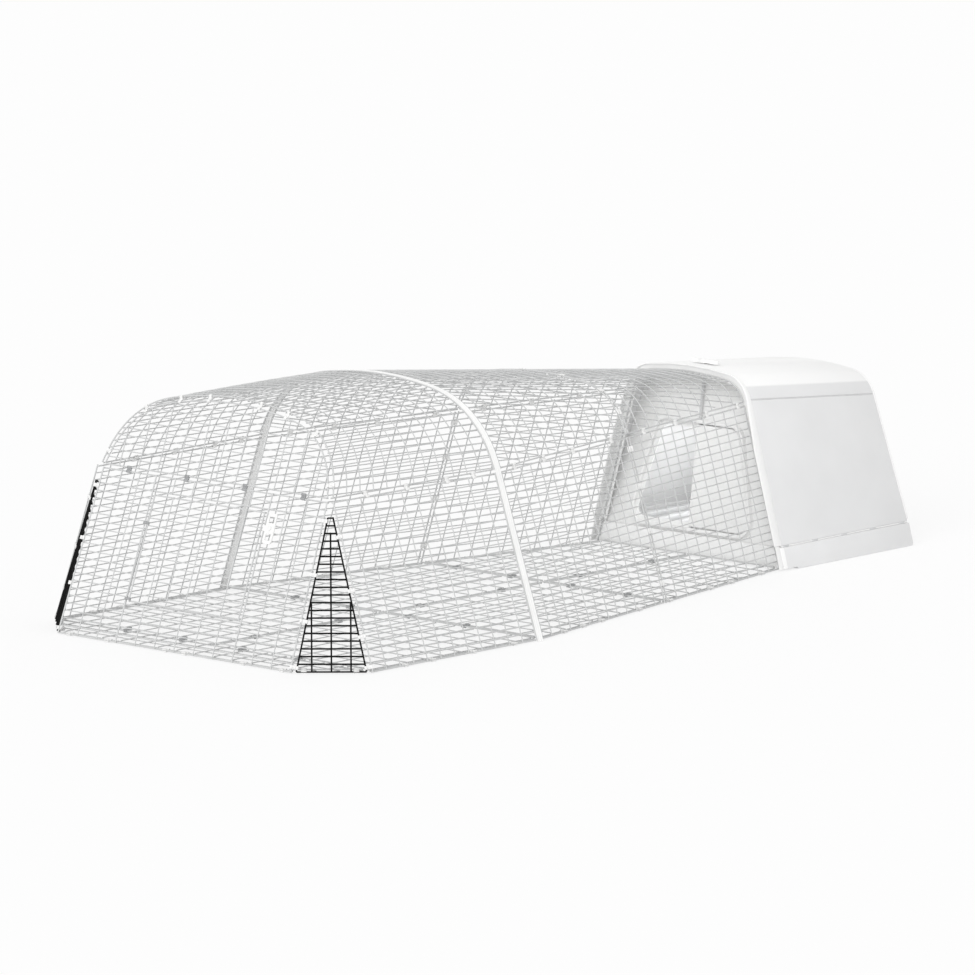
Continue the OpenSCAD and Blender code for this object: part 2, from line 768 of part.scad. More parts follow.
module corner_triangle_left() { color(black_wire) mirror([1, 0, 0]) corner_triangle(); }

// Clips along a seam, at the middles of the given cells of a count
module both_hands() {
    children();
    mirror([1, 0, 0]) children();
}

module side_ground_clips(y_a, y_b, columns, cells) {
    for (c = cells) {
        y = mix(y_a, y_b, (c + 0.5) / columns);
        edge = ground_w(min(1, flare(y)));
        run = [y > y_hoop ? -flare_slope : 0, 1, 0];
        clip_on([edge, y, base_z], [edge - seam, y, base_z], run);
    }
}
module ground_clips() {
    color(white_clip) {
        both_hands() {
            side_ground_clips(y_middle + seam / 2, y_house - house_stand_off, house_bay_columns, [0, 4, 6, 9]);
            side_ground_clips(y_hoop + hoop_stand_off, y_middle - seam / 2, middle_bay_columns, [2, 4, 6, 10]);
            side_ground_clips(y_corner, y_hoop - hoop_stand_off, front_bay_columns, [2, 4, 7, 10]);
            for (x = [0.5, 3.5, 5.5] * front_column)
                clip_on([x, y_front, base_z], [x, floor_end_front, base_z], [1, 0, 0]);
            for (u = [0.142, 0.891]) {
                a = mix(triangle_low_a, triangle_low_b, u);
                clip_on(a, [floor_end_w(a.y), a.y, base_z + post_layer], triangle_along, border_d + loose_clear);
            }
        }
    }
}

module waist_run(section_a, section_b, side_a, side_b, columns, cells) {
    for (c = cells) {
        u = (c + 0.5) / columns;
        a = mix(side_a, side_b, u);
        b = mix(vault_point(section_a, arch_len(section_a[3])), vault_point(section_b, arch_len(section_b[3])), u);
        clip_on(a, b, side_b - side_a, border_d + loose_clear);
    }
}
function flared_top(u) = side_point(u, y_house - flared_l * u, side_slant);
module waist_clips() {
    color(white_clip)
        both_hands() {
            waist_run(flared_section(house_bay_u[1]), flared_section(house_bay_u[0]),
                flared_top(house_bay_u[1]), flared_top(house_bay_u[0]), house_bay_columns, [1, 4, 7, 10]);
            waist_run(flared_section(middle_bay_u[1]), flared_section(middle_bay_u[0]),
                flared_top(middle_bay_u[1]), flared_top(middle_bay_u[0]), middle_bay_columns, [1, 4, 7, 11]);
            waist_run(front_section(1), front_section(front_bay_v[0]),
                side_point(1, y_corner + corner_step, side_slant),
                side_point(1, y_hoop - hoop_stand_off, side_slant), front_bay_columns, [2, 5, 8, 10]);
        }
}

// Clips between the uprights of the two flared bays
function flared_out(y_a, y_b) =
    let (foot = side_point(flare(y_a), y_a, 0))
    unit(cross(side_point(flare(y_b), y_b, 0) - foot, side_point(flare(y_a), y_a, side_slant) - foot));
module post_clips() {
    y_a = y_middle - seam / 2;
    y_b = y_middle + seam / 2;
    out_a = flared_out(y_hoop + hoop_stand_off, y_a) * post_layer;
    out_b = flared_out(y_b, y_house - house_stand_off) * post_layer;
    color(white_clip)
        both_hands()
            for (row = [2, 9, 15, 20]) {
                slant = (row + 0.5) * mesh_row;
                clip_on(side_point(flare(y_a), y_a, slant) + out_a, side_point(flare(y_b), y_b, slant) + out_b,
                    side_point(flare(y_middle), y_middle, side_slant) - side_point(flare(y_middle), y_middle, 0),
                    border_d + loose_clear);
            }
}

// Clips between the bent borders of the two flared roofs, between two rods
module roof_seam_clips() {
    near = flared_section(house_bay_u[1]);
    far = flared_section(middle_bay_u[0]);
    color(white_clip)
        for (side = [-1, 1], step = [-1, 1, 3]) {
            target = step < 0 ? crown_len(near[3]) * 0.4 : corner_mid(near[3], step);
            s = side * (floor(target / mesh_row) + 0.5) * mesh_row;
            clip_on(vault_point(near, s, post_layer), vault_point(far, s, post_layer),
                vault_point(near, s + 1, post_layer) - vault_point(near, s - 1, post_layer),
                border_d + 2 * loose_clear);
        }
}

// Clips along the floor's middle seam and across the seams between the bays
floor_bar_z = base_z + border_d / 2 + weld_gap + border_d / 2;
floor_bar_in = floor_end_gap + border_d / 2;
module floor_clips() {
    color(grey_clip) {
        for (y = [y_house - house_bay / 4, y_middle + house_bay / 4, y_middle - middle_bay / 4,
                y_hoop + middle_bay / 4, y_hoop - front_bay / 4, y_corner + front_bay / 4])
            clip_on([-seam / 2, y, base_z], [seam / 2, y, base_z], [0, 1, 0]);
        for (side = [-1, 1], line = [1.5, 4.5]) {
            x = side * (seam / 2 + line * floor_pitch);
            for (y = [y_middle, y_hoop])
                clip_on([x, y - floor_bar_in, floor_bar_z], [x, y + floor_bar_in, floor_bar_z], [1, 0, 0]);
            clip_on([x, floor_end_back, base_z], [x, y_corner + floor_bar_in, floor_bar_z], [1, 0, 0]);
        }
    }
}

// Clips between the front panel and the arched panel above it
module front_seam_clips() {
    color(grey_clip)
        for (x = [-4.5, -1.5, 1.5, 4.5] * front_column)
            clip_on(front_point(x, front_slant), front_point(x, front_arch_foot), [1, 0, 0]);
}

// Clips between the arched panel and the roof round the front arch, between two rods
function arch_at(a, angle) =
    angle <= a[4] ? arc_len(crown_r, angle) : crown_len(a) + arc_len(a[3], angle - a[4]);
module arch_clips() {
    foot = front_point(0, front_arch_foot, post_layer);
    inner = [foot.y, foot.z, front_lean, front_arch];
    outer = front_section(1);
    color(white_clip)
        for (side = [-1, 1], cell = [4, 9, 15, 23]) {
            s = (cell + 0.5) * mesh_row;
            s_in = side * arch_at(front_arch, arch_angle(outer[3], s));
            clip_on(vault_point(inner, s_in), vault_point(outer, side * s, post_layer),
                vault_point(inner, s_in + 1) - vault_point(inner, s_in - 1), border_d + 2 * loose_clear, short_clip);
        }
}

// Clips between a triangle's slanted wires and the front panel on one side, the side panel on the other
module corner_clips() {
    color(white_clip)
        both_hands() {
            for (row = [0, 6, 12, 19]) {
                u = (row + 0.5) / triangle_rows;
                a = mix(triangle_low_a, triangle_high_a, u) + triangle_out * triangle_layer;
                slant = (a.z - base_z) / cos(front_lean);
                b = front_point(front_edge(slant), slant, post_layer);
                post = front_point(front_top_w, front_slant) - front_point(front_w, 0);
                clip_on(a, b, unit(triangle_high_a - triangle_low_a) + unit(post), border_d + 2 * loose_clear, short_clip);
            }
            for (row = [0, 4, 10, 17]) {
                u = (row + 0.5) / triangle_rows;
                a = mix(triangle_low_b, triangle_high_b, u) + triangle_out * triangle_layer;
                slant = (a.z - base_z) / cos(run_lean);
                b = side_point(1, y_corner + corner_step * slant / side_slant, slant)
                    + [cos(run_lean), 0, sin(run_lean)] * post_layer;
                post = side_point(1, y_corner + corner_step, side_slant) - side_point(1, y_corner, 0);
                clip_on(a, b, unit(triangle_high_b - triangle_low_b) + unit(post), border_d + 2 * loose_clear, short_clip);
            }
        }
}

// Hen house: one section swept back along the sloping roof
house_waist_w = house_w - house_shoulder * tan(house_lean);
house_arch = arch(house_waist_w, house_crown - house_shoulder, house_lean);
house_arc_steps = 12;
sweep_spare = 60;
function house_half(in) = concat(
    [[house_w + sweep_spare * tan(house_lean) - in / cos(house_lean), -sweep_spare]],
    [for (i = [0 : house_arc_steps])
        let (t = house_arch[4] + corner_angle(house_arch) * (1 - i / house_arc_steps))
        [house_arch[5] + (house_arch[3] - in) * sin(t), house_shoulder + house_arch[6] + (house_arch[3] - in) * cos(t)]],
    [for (i = [1 : 2])
        let (t = house_arch[4] * (1 - i / 2))
        [(crown_r - in) * sin(t), house_crown - crown_r + (crown_r - in) * cos(t)]]
);
function house_outline(in) =
    let (half = house_half(in))
    concat(half, [for (i = [len(half) - 2 : -1 : 0]) [-half[i].x, half[i].y]]);
// Leans what is drawn upright back, about the front edge of the house on the ground
module lean_back(angle) {
    translate([0, y_house, 0])
        rotate([-angle, 0, 0])
            translate([0, -y_house, 0])
                children();
}
module house_sweep(in) {
    length = house_l + 2 * sweep_spare;
    lean_back(roof_slope)
        translate([0, y_house + length - sweep_spare, 0])
            rotate([90, 0, 0])
                linear_extrude(length)
                    polygon(house_outline(in));
}
// Block across the whole house between two depths behind its front and two heights
module house_block(from, to, low, high, half = 2 * house_w) {
    translate([-half, y_house + from, low])
        cube([2 * half, to - from, high - low]);
}
house_top = house_crown + 20;
shell_foot = base_h + base_gap;
front_recess = 2;
rim_t = 6;
rim_back = 8;
shell_back = house_l - rear_t - slack;
ledge = wall + slack + 3;
roof_drop = tan(roof_slope);

// Tub that carries the house, with a ledge and a lip that the shell sits round, and a slot for the tray
tray_gap = 3;
tray_floor = wall + slack;
lip_h = 12;
foot_step = 6;
foot_step_l = 70;
rail_t = 10;
rail_l = 30;
foot_r = 12;
hinge_z = base_h + 9;
hinge_y = house_l - rear_t / 2;
hinge_d = 14;
knuckle_x = 200;
rear_knuckle_l = 40;
lug_t = 12;
bar_h = 20;
// Depth of the front wall's back at the top of the roosting bars
behind_wall = front_recess + wall + (base_h + slack + bar_h) * tan(front_wall_lean) + 2;
module rear_lugs() {
    for (side = [-1, 1], end = [-1, 1])
        translate([side * knuckle_x + end * (rear_knuckle_l + lug_t) / 2 + end * slack, y_house + hinge_y, hinge_z])
            rotate([0, 90, 0]) {
                cylinder(d = hinge_d, h = lug_t, center = true);
                translate([(hinge_z - base_h + 1) / 2, 0, 0])
                    cube([hinge_z - base_h + 1, hinge_d, lug_t], center = true);
            }
}
module house_base() {
    color(white_plastic)
        difference() {
            union() {
                difference() {
                    intersection() {
                        house_sweep(0);
                        house_block(0, house_l, 0, base_h);
                    }
                    intersection() {
                        house_sweep(wall);
                        union() {
                            house_block(wall, house_l - wall, foot_step + wall, base_h - rail_t);
                            house_block(foot_step_l + wall, house_l - wall, wall, base_h - rail_t);
                        }
                    }
                    intersection() {
                        house_sweep(ledge);
                        house_block(front_recess + rail_l, house_l - rail_l, foot_step + wall, base_h + 1);
                    }
                }
                intersection() {
                    difference() {
                        house_sweep(wall + slack);
                        house_sweep(ledge);
                    }
                    house_block(behind_wall, shell_back - rail_l, base_h - rail_t / 2, shell_foot + lip_h);
                }
                rear_lugs();
            }
            house_block(-1, foot_step_l, -1, foot_step);
            translate([-house_w, y_house + house_l - foot_r, foot_r])
                rotate([90, 0, 90])
                    linear_extrude(2 * house_w)
                        difference() {
                            translate([0, -foot_r - 1])
                                square(foot_r + 1);
                            circle(r = foot_r);
                        }
            house_block(house_l - rail_l - 1, house_l + 1, wall, tray_floor + tray_h + tray_gap, tray_w + tray_gap);
            for (side = [-1, 1])
                translate([side * knuckle_x, y_house + hinge_y, hinge_z])
                    rotate([0, 90, 0])
                        cylinder(d = rear_pin_d + running_clear, h = rear_knuckle_l + 4 * lug_t, center = true);
        }
}

// Upright shaft of the pop door, which runs up through the roof
pop_axis_in = 8;
pop_axis_y = y_house + front_recess - pop_axis_in;
pop_frame = 12;
pop_frame_t = 16;
bearing_d = 24;
shaft_top = 3 + (house_crown / cos(roof_slope) + (front_recess - pop_axis_in)
    * (sin(front_wall_lean) - roof_drop * cos(front_wall_lean)))
    / (cos(front_wall_lean) + roof_drop * sin(front_wall_lean));
module wall_lean() { lean_back(front_wall_lean) children(); }
module pop_axis() { wall_lean() translate([0, pop_axis_y, 0]) children(); }

strike_w = 40;
strike_t = 4;
strike_drop = 30;
// Height of the roof along the leaning back of the shell
back_off = shell_back - hinge_y;
back_crown = hinge_z + (house_crown / cos(roof_slope) - roof_drop * (hinge_y + back_off * cos(rear_lean))
    - hinge_z - back_off * sin(rear_lean)) / (cos(rear_lean) - roof_drop * sin(rear_lean));
// Leans what is drawn upright forward, about the hinges of the rear door
module rear_tilt() {
    translate([0, y_house + hinge_y, hinge_z])
        rotate([rear_lean, 0, 0])
            translate([0, -y_house - hinge_y, -hinge_z])
                children();
}
groove_h = 3;
groove = 1.5;
module house_shell() {
    color(grey_plastic)
        difference() {
            union() {
                intersection() {
                    difference() {
                        house_sweep(0);
                        house_sweep(wall);
                    }
                    house_block(rim_back, house_l, shell_foot, house_top);
                    rear_tilt() house_block(-house_l, shell_back, -house_top, 2 * house_top);
                }
                rear_tilt()
                    house_block(shell_back - strike_t, shell_back, back_crown - strike_drop, back_crown - wall / 2,
                        strike_w / 2);
            }
            // Line along each side where the roof begins
            intersection() {
                difference() {
                    house_sweep(-1);
                    house_sweep(groove);
                }
                lean_back(roof_slope)
                    house_block(-sweep_spare, house_l + sweep_spare, house_shoulder, house_shoulder + groove_h);
            }
            pop_axis() cylinder(d = shaft_d + running_clear, h = 2 * house_top);
        }
}

// Rim that hoods the end of the run, with a flange that the run butts on and a leg down each side
leg_reach = 21;
leg_in = 2;
module front_rim() {
    color(white_plastic) {
        intersection() {
            difference() {
                house_sweep(0);
                house_sweep(wall);
            }
            house_block(-rim_reach, rim_back, shell_foot, house_top);
        }
        intersection() {
            difference() {
                house_sweep(0);
                house_sweep(rim_w);
            }
            house_block(0, rim_t, shell_foot, house_top);
        }
        intersection() {
            difference() {
                house_sweep(leg_in);
                house_sweep(leg_in + wall);
            }
            house_block(-leg_reach, -slack, foot_step, shell_foot + wall);
        }
    }
}

// Small blocks that hold the shell on the base
module shell_catches() {
    catch_l = 30;
    catches = 5;
    color(white_plastic)
        both_hands()
            for (i = [0 : catches - 1]) {
                back = mix(front_recess + catch_l, shell_back - catch_l, i / (catches - 1));
                half = house_w - (shell_foot + (back + catch_l) * roof_drop) * tan(house_lean) - wall;
                translate([half + 3, y_house + back - catch_l / 2, base_h])
                    cube([wall - 3, catch_l, base_gap]);
            }
}

// Outline with round corners: each point is [x, y, radius]
corner_arc_steps = 6;
function rounded(points) = [
    for (i = [0 : len(points) - 1])
        let (
            n = len(points),
            p = [points[i].x, points[i].y],
            a = points[(i + n - 1) % n],
            b = points[(i + 1) % n],
            u = unit([a.x, a.y] - p),
            v = unit([b.x, b.y] - p),
            r = points[i][2],
            half = acos(u * v) / 2,
            centre = p + unit(u + v) * r / sin(half),
            from = p + u * r / tan(half) - centre,
            to = p + v * r / tan(half) - centre
        )
        each r == 0 ? [p] : [
            for (k = [0 : corner_arc_steps])
                let (d = unit(from * sin((90 - half) * 2 * (1 - k / corner_arc_steps))
                    + to * sin((90 - half) * 2 * k / corner_arc_steps)))
                centre + d * r
        ]
];
function pop_side(z) = mix(pop_w, pop_top_w, (z - pop_z) / pop_h);
function pop_outline(in) = [
    [-pop_side(pop_z) + in, pop_z + in, pop_r - in],
    [pop_side(pop_z) - in, pop_z + in, pop_r - in],
    [pop_side(pop_z + pop_h) - in, pop_z + pop_h - in, pop_r - in],
    [-pop_side(pop_z + pop_h) + in, pop_z + pop_h - in, pop_r - in]
];
// Right half of the pop hole's outline, from a distance off the middle
function pop_half(in, from) = [
    [from, pop_z + in, 0],
    [pop_side(pop_z) - in, pop_z + in, pop_r - in],
    [pop_side(pop_z + pop_h) - in, pop_z + pop_h - in, pop_r - in],
    [from, pop_z + pop_h - in, 0]
];
// Stands an outline drawn in X and Z up, with its thickness back from a depth
module upright(from, thick) {
    translate([0, y_house + from + thick, 0])
        rotate([90, 0, 0])
            linear_extrude(thick)
                children();
}

door_clear = 4;
pop_lap = 12;
module front_wall() {
    color(white_plastic)
        difference() {
            union() {
                intersection() {
                    house_sweep(wall + slack);
                    house_block(-sweep_spare, house_l, base_h + slack, house_top);
                    wall_lean() house_block(front_recess, front_recess + wall, 0, 2 * house_top);
                }
                wall_lean()
                    upright(front_recess - pop_frame_t, pop_frame_t + 1)
                        difference() {
                            polygon(rounded(pop_outline(-pop_frame)));
                            polygon(rounded(pop_outline(0)));
                        }
                for (z = [pop_z - pop_frame, pop_z + pop_h])
                    pop_axis()
                        translate([0, 0, z])
                            cylinder(d = bearing_d, h = pop_frame);
            }
            wall_lean()
                upright(front_recess - 1, wall + 2)
                    mirror([1, 0])
                        polygon(rounded(pop_half(door_clear + pop_lap, pop_lap)));
            pop_axis() cylinder(d = shaft_d + running_clear, h = 2 * house_top);
        }
}

// The pop door lies open over the right half of the frame and turns over the left half to close it
barrel_d = shaft_d + 4;
module pop_door() {
    color(white_plastic)
        difference() {
            union() {
                wall_lean()
                    upright(front_recess - pop_axis_in - pop_door_t / 2, pop_door_t)
                        polygon(rounded(pop_half(door_clear, 0)));
                pop_axis()
                    translate([0, 0, pop_z + door_clear])
                        cylinder(d = barrel_d, h = pop_h - 2 * door_clear);
            }
            pop_axis() cylinder(d = shaft_d + clip_clear, h = house_top);
        }
}
module pop_door_shaft() {
    foot = pop_z - pop_frame;
    color(grey_plastic)
        pop_axis()
            translate([0, 0, foot])
                cylinder(d = shaft_d, h = shaft_top + handle_h - foot);
}
handle_h = 12;
handle_w = 22;
module roof_handle() {
    color(white_plastic)
        pop_axis()
            translate([0, 0, shaft_top])
                difference() {
                    linear_extrude(handle_h) {
                        square([handle_l - handle_w, handle_w], center = true);
                        circle(d = 1.6 * handle_w);
                        for (side = [-1, 1])
                            translate([side * (handle_l - handle_w) / 2, 0])
                                circle(d = handle_w);
                    }
                    translate([0, 0, -1])
                        cylinder(d = shaft_d + clip_clear, h = handle_h + 2);
                }
}

// Rear door: closes the back of the shell and drops down on two hinges
rear_foot = hinge_z + 4;
latch_z = back_crown - strike_drop - 28;
vent_slots = 5;
vent_pitch = 16;
vent_l = 140;
vent_t = 7;
spindle_d = 10;
module rear_door() {
    color(white_plastic)
        difference() {
            union() {
                intersection() {
                    house_sweep(0);
                    rear_tilt() house_block(house_l - rear_t, house_l, rear_foot, 2 * house_top);
                }
                for (side = [-1, 1])
                    translate([side * knuckle_x, y_house + hinge_y, hinge_z])
                        rotate([0, 90, 0])
                            cylinder(d = hinge_d, h = rear_knuckle_l, center = true);
            }
            for (side = [-1, 1], end = [-1, 1])
                translate([side * knuckle_x + end * (rear_knuckle_l + lug_t) / 2 + end * slack,
                        y_house + hinge_y, hinge_z])
                    cube([lug_t + 2, rear_t + 4, hinge_d + 4], center = true);
            for (side = [-1, 1])
                translate([side * knuckle_x, y_house + hinge_y, hinge_z])
                    rotate([0, 90, 0])
                        cylinder(d = rear_pin_d + running_clear, h = rear_knuckle_l + 1, center = true);
            rear_tilt() {
                for (side = [-1, 1], i = [0 : vent_slots - 1])
                    translate([side * vent_l * 0.7, y_house + hinge_y, latch_z - 60 - i * vent_pitch])
                        cube([vent_l, rear_t + 2, vent_t], center = true);
                translate([0, y_house + hinge_y, latch_z])
                    rotate([90, 0, 0])
                        cylinder(d = spindle_d + running_clear, h = rear_t + 2, center = true);
            }
        }
}
module rear_hinge_pins() {
    color("silver")
        for (side = [-1, 1])
            translate([side * knuckle_x, y_house + hinge_y, hinge_z])
                rotate([0, 90, 0])
                    cylinder(d = rear_pin_d, h = rear_knuckle_l + 2 * lug_t, center = true);
}
// Turn latch: knob outside, tongue inside, shown turned clear of its strike
tongue_l = 40;
tongue_w = 14;
knob_d = 46;
knob_h = 9;
module rear_door_latch() {
    tongue_back = shell_back - strike_t - slack;
    color(grey_plastic)
        rear_tilt()
            translate([0, y_house, latch_z]) {
                translate([0, tongue_back - strike_t, 0])
                    rotate([-90, 0, 0])
                        cylinder(d = spindle_d, h = house_l + slack + knob_h - tongue_back + strike_t);
                translate([0, tongue_back - strike_t, -tongue_w / 2])
                    cube([tongue_l, strike_t, tongue_w]);
                translate([0, house_l + slack, 0])
                    rotate([-90, 0, 0])
                        cylinder(d = knob_d, h = knob_h);
            }
}

// Droppings tray that slides out through the back of the base
tray_wall = 3;
tray_front = foot_step_l + 2 * wall;
pull_w = 160;
module droppings_tray() {
    color(grey_plastic) {
        difference() {
            house_block(tray_front, house_l, tray_floor, tray_floor + tray_h, tray_w);
            house_block(tray_front + tray_wall, house_l - tray_wall, tray_floor + tray_wall, tray_floor + tray_h + 1,
                tray_w - tray_wall);
        }
        house_block(house_l - 1, house_l + pull_t, tray_floor + tray_h / 2, tray_floor + tray_h / 2 + pull_t,
            pull_w / 2);
    }
}

// Roosting bars laid from the front ledge to the rear rail, and a divider that makes the nest
bar_w = 30;
bar_span = 640;
function bar_x(i) = mix(-bar_span / 2, bar_span / 2, i / (roost_bars - 1));
module roosting_bars() {
    color(grey_plastic)
        for (i = [0 : roost_bars - 1])
            translate([bar_x(i) - bar_w / 2, y_house + behind_wall, base_h + slack])
                cube([bar_w, house_l - rail_l + 6 - behind_wall, bar_h]);
}
nest_bar = 4;
nest_l = 260;
nest_h = 230;
module nest_divider() {
    color(grey_plastic)
        translate([bar_x(nest_bar), y_house + shell_back - nest_l - rail_l, base_h + bar_h + 2 * slack])
            cube([wall, nest_l, nest_h]);
}

side_panel_house_right();
side_panel_house_left();
side_panel_middle_right();
side_panel_middle_left();
side_panel_front_right();
side_panel_front_left();
roof_rods_house();
roof_rods_middle();
roof_rods_front();
roof_hoops_house();
roof_hoops_middle();
roof_hoops_front();
floor_house_right();
floor_house_left();
floor_middle_right();
floor_middle_left();
floor_front_right();
floor_front_left();
floor_end();
front_panel();
front_arch_panel();
run_door();
run_door_hinges();
run_door_latch_block();
run_door_latch();
corner_triangle_right();
corner_triangle_left();
middle_hoop();
ground_clips();
waist_clips();
post_clips();
roof_seam_clips();
floor_clips();
front_seam_clips();
arch_clips();
corner_clips();
house_base();
house_shell();
front_rim();
front_wall();
shell_catches();
pop_door();
pop_door_shaft();
roof_handle();
rear_door();
rear_hinge_pins();
rear_door_latch();
droppings_tray();
roosting_bars();
nest_divider();
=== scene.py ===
# Chicken run with its hen house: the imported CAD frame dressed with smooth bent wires, welds, snap
# clips and moulded plastic, on a pale floor in soft studio light, seen from the photograph's angle.
import math

import bmesh
import bpy
import numpy as np
from mathutils import Matrix, Vector


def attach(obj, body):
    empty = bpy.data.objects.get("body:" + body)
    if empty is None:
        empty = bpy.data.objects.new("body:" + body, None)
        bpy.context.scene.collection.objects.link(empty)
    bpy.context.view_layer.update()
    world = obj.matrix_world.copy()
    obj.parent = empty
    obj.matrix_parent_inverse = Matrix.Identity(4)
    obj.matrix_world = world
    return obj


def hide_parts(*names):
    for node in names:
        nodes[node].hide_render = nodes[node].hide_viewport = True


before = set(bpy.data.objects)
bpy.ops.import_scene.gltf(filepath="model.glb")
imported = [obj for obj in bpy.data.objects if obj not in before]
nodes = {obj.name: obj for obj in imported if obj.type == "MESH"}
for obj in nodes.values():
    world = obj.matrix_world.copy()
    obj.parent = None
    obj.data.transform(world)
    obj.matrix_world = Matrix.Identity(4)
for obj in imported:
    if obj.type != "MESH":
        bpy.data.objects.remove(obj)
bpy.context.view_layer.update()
scene = bpy.context.scene
scene.view_settings.view_transform = "Standard"

# Camera: a long lens far off, at the photograph's angle, with the photograph's square frame.
# Its place comes from a fit of the run's feet and hoops to the photograph.
azimuth, elevation = math.radians(42.8), math.radians(9.6)
photo_width, focal_pixels = 975, 11932.1
camera_place = (26.1366, -28.3200, 6.8611)
back = Vector((math.sin(azimuth) * math.cos(elevation), -math.cos(azimuth) * math.cos(elevation),
               math.sin(elevation)))
right = Vector((math.cos(azimuth), math.sin(azimuth), 0))
camera_data = bpy.data.cameras.new("camera")
camera_data.sensor_width = 36
camera_data.lens = camera_data.sensor_width * focal_pixels / photo_width
camera_data.clip_start, camera_data.clip_end = 1, 200
camera = bpy.data.objects.new("camera", camera_data)
camera_turn = Matrix((right, back.cross(right), back)).transposed()
camera.matrix_world = Matrix.Translation(camera_place) @ camera_turn.to_4x4()
scene.collection.objects.link(camera)
scene.camera = camera

# Studio: a wide white floor under an even white sky, with a broad soft sun high on the front right.
# The camera sees the floor's paint with some of its own white, so that only a soft shadow stays.
floor_half, floor_drop, floor_tone, own_white_share = 60, 0.0005, 0.94, 0.75
sky_shown, sky_level = 1.0, 0.77
sun_level, sun_spread, sun_way = 1.3, math.radians(50), Vector((-0.32, 0.78, -0.54))


def shown_to(tree):
    """A tree value of 1 for rays that show the background: the camera's, reflected ones and those
    through glass."""
    path = tree.nodes.new("ShaderNodeLightPath")
    shown = path.outputs["Is Camera Ray"]
    for ray in ("Is Glossy Ray", "Is Transmission Ray"):
        either = tree.nodes.new("ShaderNodeMath")
        either.operation = "MAXIMUM"
        tree.links.new(shown, either.inputs[0])
        tree.links.new(path.outputs[ray], either.inputs[1])
        shown = either.outputs[0]
    return shown


floor_mesh = bpy.data.meshes.new("floor")
floor_corners = [(x * floor_half, y * floor_half, -floor_drop)
                 for x, y in ((-1, -1), (1, -1), (1, 1), (-1, 1))]
floor_mesh.from_pydata(floor_corners, [], [(0, 1, 2, 3)])
floor = bpy.data.objects.new("floor", floor_mesh)
scene.collection.objects.link(floor)
floor_paint = bpy.data.materials.new("floor_white")
floor_paint.use_nodes = True
floor_tree = floor_paint.node_tree
paint = floor_tree.nodes["Principled BSDF"]
paint.inputs["Base Color"].default_value = (floor_tone, floor_tone, floor_tone, 1)
paint.inputs["Roughness"].default_value = 0.95
paint.inputs["Specular IOR Level"].default_value = 0.0
own_white = floor_tree.nodes.new("ShaderNodeEmission")
share = floor_tree.nodes.new("ShaderNodeMath")
share.operation = "MULTIPLY"
share.inputs[1].default_value = own_white_share
floor_mix = floor_tree.nodes.new("ShaderNodeMixShader")
floor_tree.links.new(shown_to(floor_tree), share.inputs[0])
floor_tree.links.new(share.outputs[0], floor_mix.inputs["Fac"])
floor_tree.links.new(paint.outputs["BSDF"], floor_mix.inputs[1])
floor_tree.links.new(own_white.outputs["Emission"], floor_mix.inputs[2])
floor_tree.links.new(floor_mix.outputs["Shader"], floor_tree.nodes["Material Output"].inputs["Surface"])
floor_mesh.materials.append(floor_paint)

world = bpy.data.worlds.new("sky")
world.use_nodes = True
scene.world = world
sky_tree = world.node_tree
sky_tree.nodes.clear()
sky_out = sky_tree.nodes.new("ShaderNodeOutputWorld")
sky_mix = sky_tree.nodes.new("ShaderNodeMixShader")
for side, level in ((1, sky_level), (2, sky_shown)):
    sky = sky_tree.nodes.new("ShaderNodeBackground")
    sky.inputs["Color"].default_value = (1, 1, 1, 1)
    sky.inputs["Strength"].default_value = level
    sky_tree.links.new(sky.outputs["Background"], sky_mix.inputs[side])
sky_tree.links.new(shown_to(sky_tree), sky_mix.inputs["Fac"])
sky_tree.links.new(sky_mix.outputs["Shader"], sky_out.inputs["Surface"])

sun_data = bpy.data.lights.new("soft_sun", "SUN")
sun_data.energy = sun_level
sun_data.angle = sun_spread
sun = bpy.data.objects.new("soft_sun", sun_data)
sun.rotation_euler = sun_way.to_track_quat("-Z", "Y").to_euler()
scene.collection.objects.link(sun)

# Welded mesh panels: straight steel wires in two layers, spot welded where they cross and dipped in
# a pale grey coating. The CAD wires stay, and get the coating and a bead of weld at each crossing.
coat_skin = bpy.data.node_groups.new("coat_skin", "ShaderNodeTree")
coat_skin.interface.new_socket("Place", in_out="INPUT", socket_type="NodeSocketVector")
coat_skin.interface.new_socket("Blotch scale", in_out="INPUT", socket_type="NodeSocketFloat")
coat_skin.interface.new_socket("Grain scale", in_out="INPUT", socket_type="NodeSocketFloat")
coat_skin.interface.new_socket("Blotch", in_out="OUTPUT", socket_type="NodeSocketFloat")
coat_skin.interface.new_socket("Grain", in_out="OUTPUT", socket_type="NodeSocketFloat")
skin_in = coat_skin.nodes.new("NodeGroupInput")
skin_out = coat_skin.nodes.new("NodeGroupOutput")
blotch = coat_skin.nodes.new("ShaderNodeTexNoise")
blotch.inputs["Detail"].default_value = 3
grain = coat_skin.nodes.new("ShaderNodeTexNoise")
grain.inputs["Detail"].default_value = 2
for noise, scale, result in ((blotch, "Blotch scale", "Blotch"), (grain, "Grain scale", "Grain")):
    coat_skin.links.new(skin_in.outputs["Place"], noise.inputs["Vector"])
    coat_skin.links.new(skin_in.outputs[scale], noise.inputs["Scale"])
    coat_skin.links.new(noise.outputs["Fac"], skin_out.inputs[result])


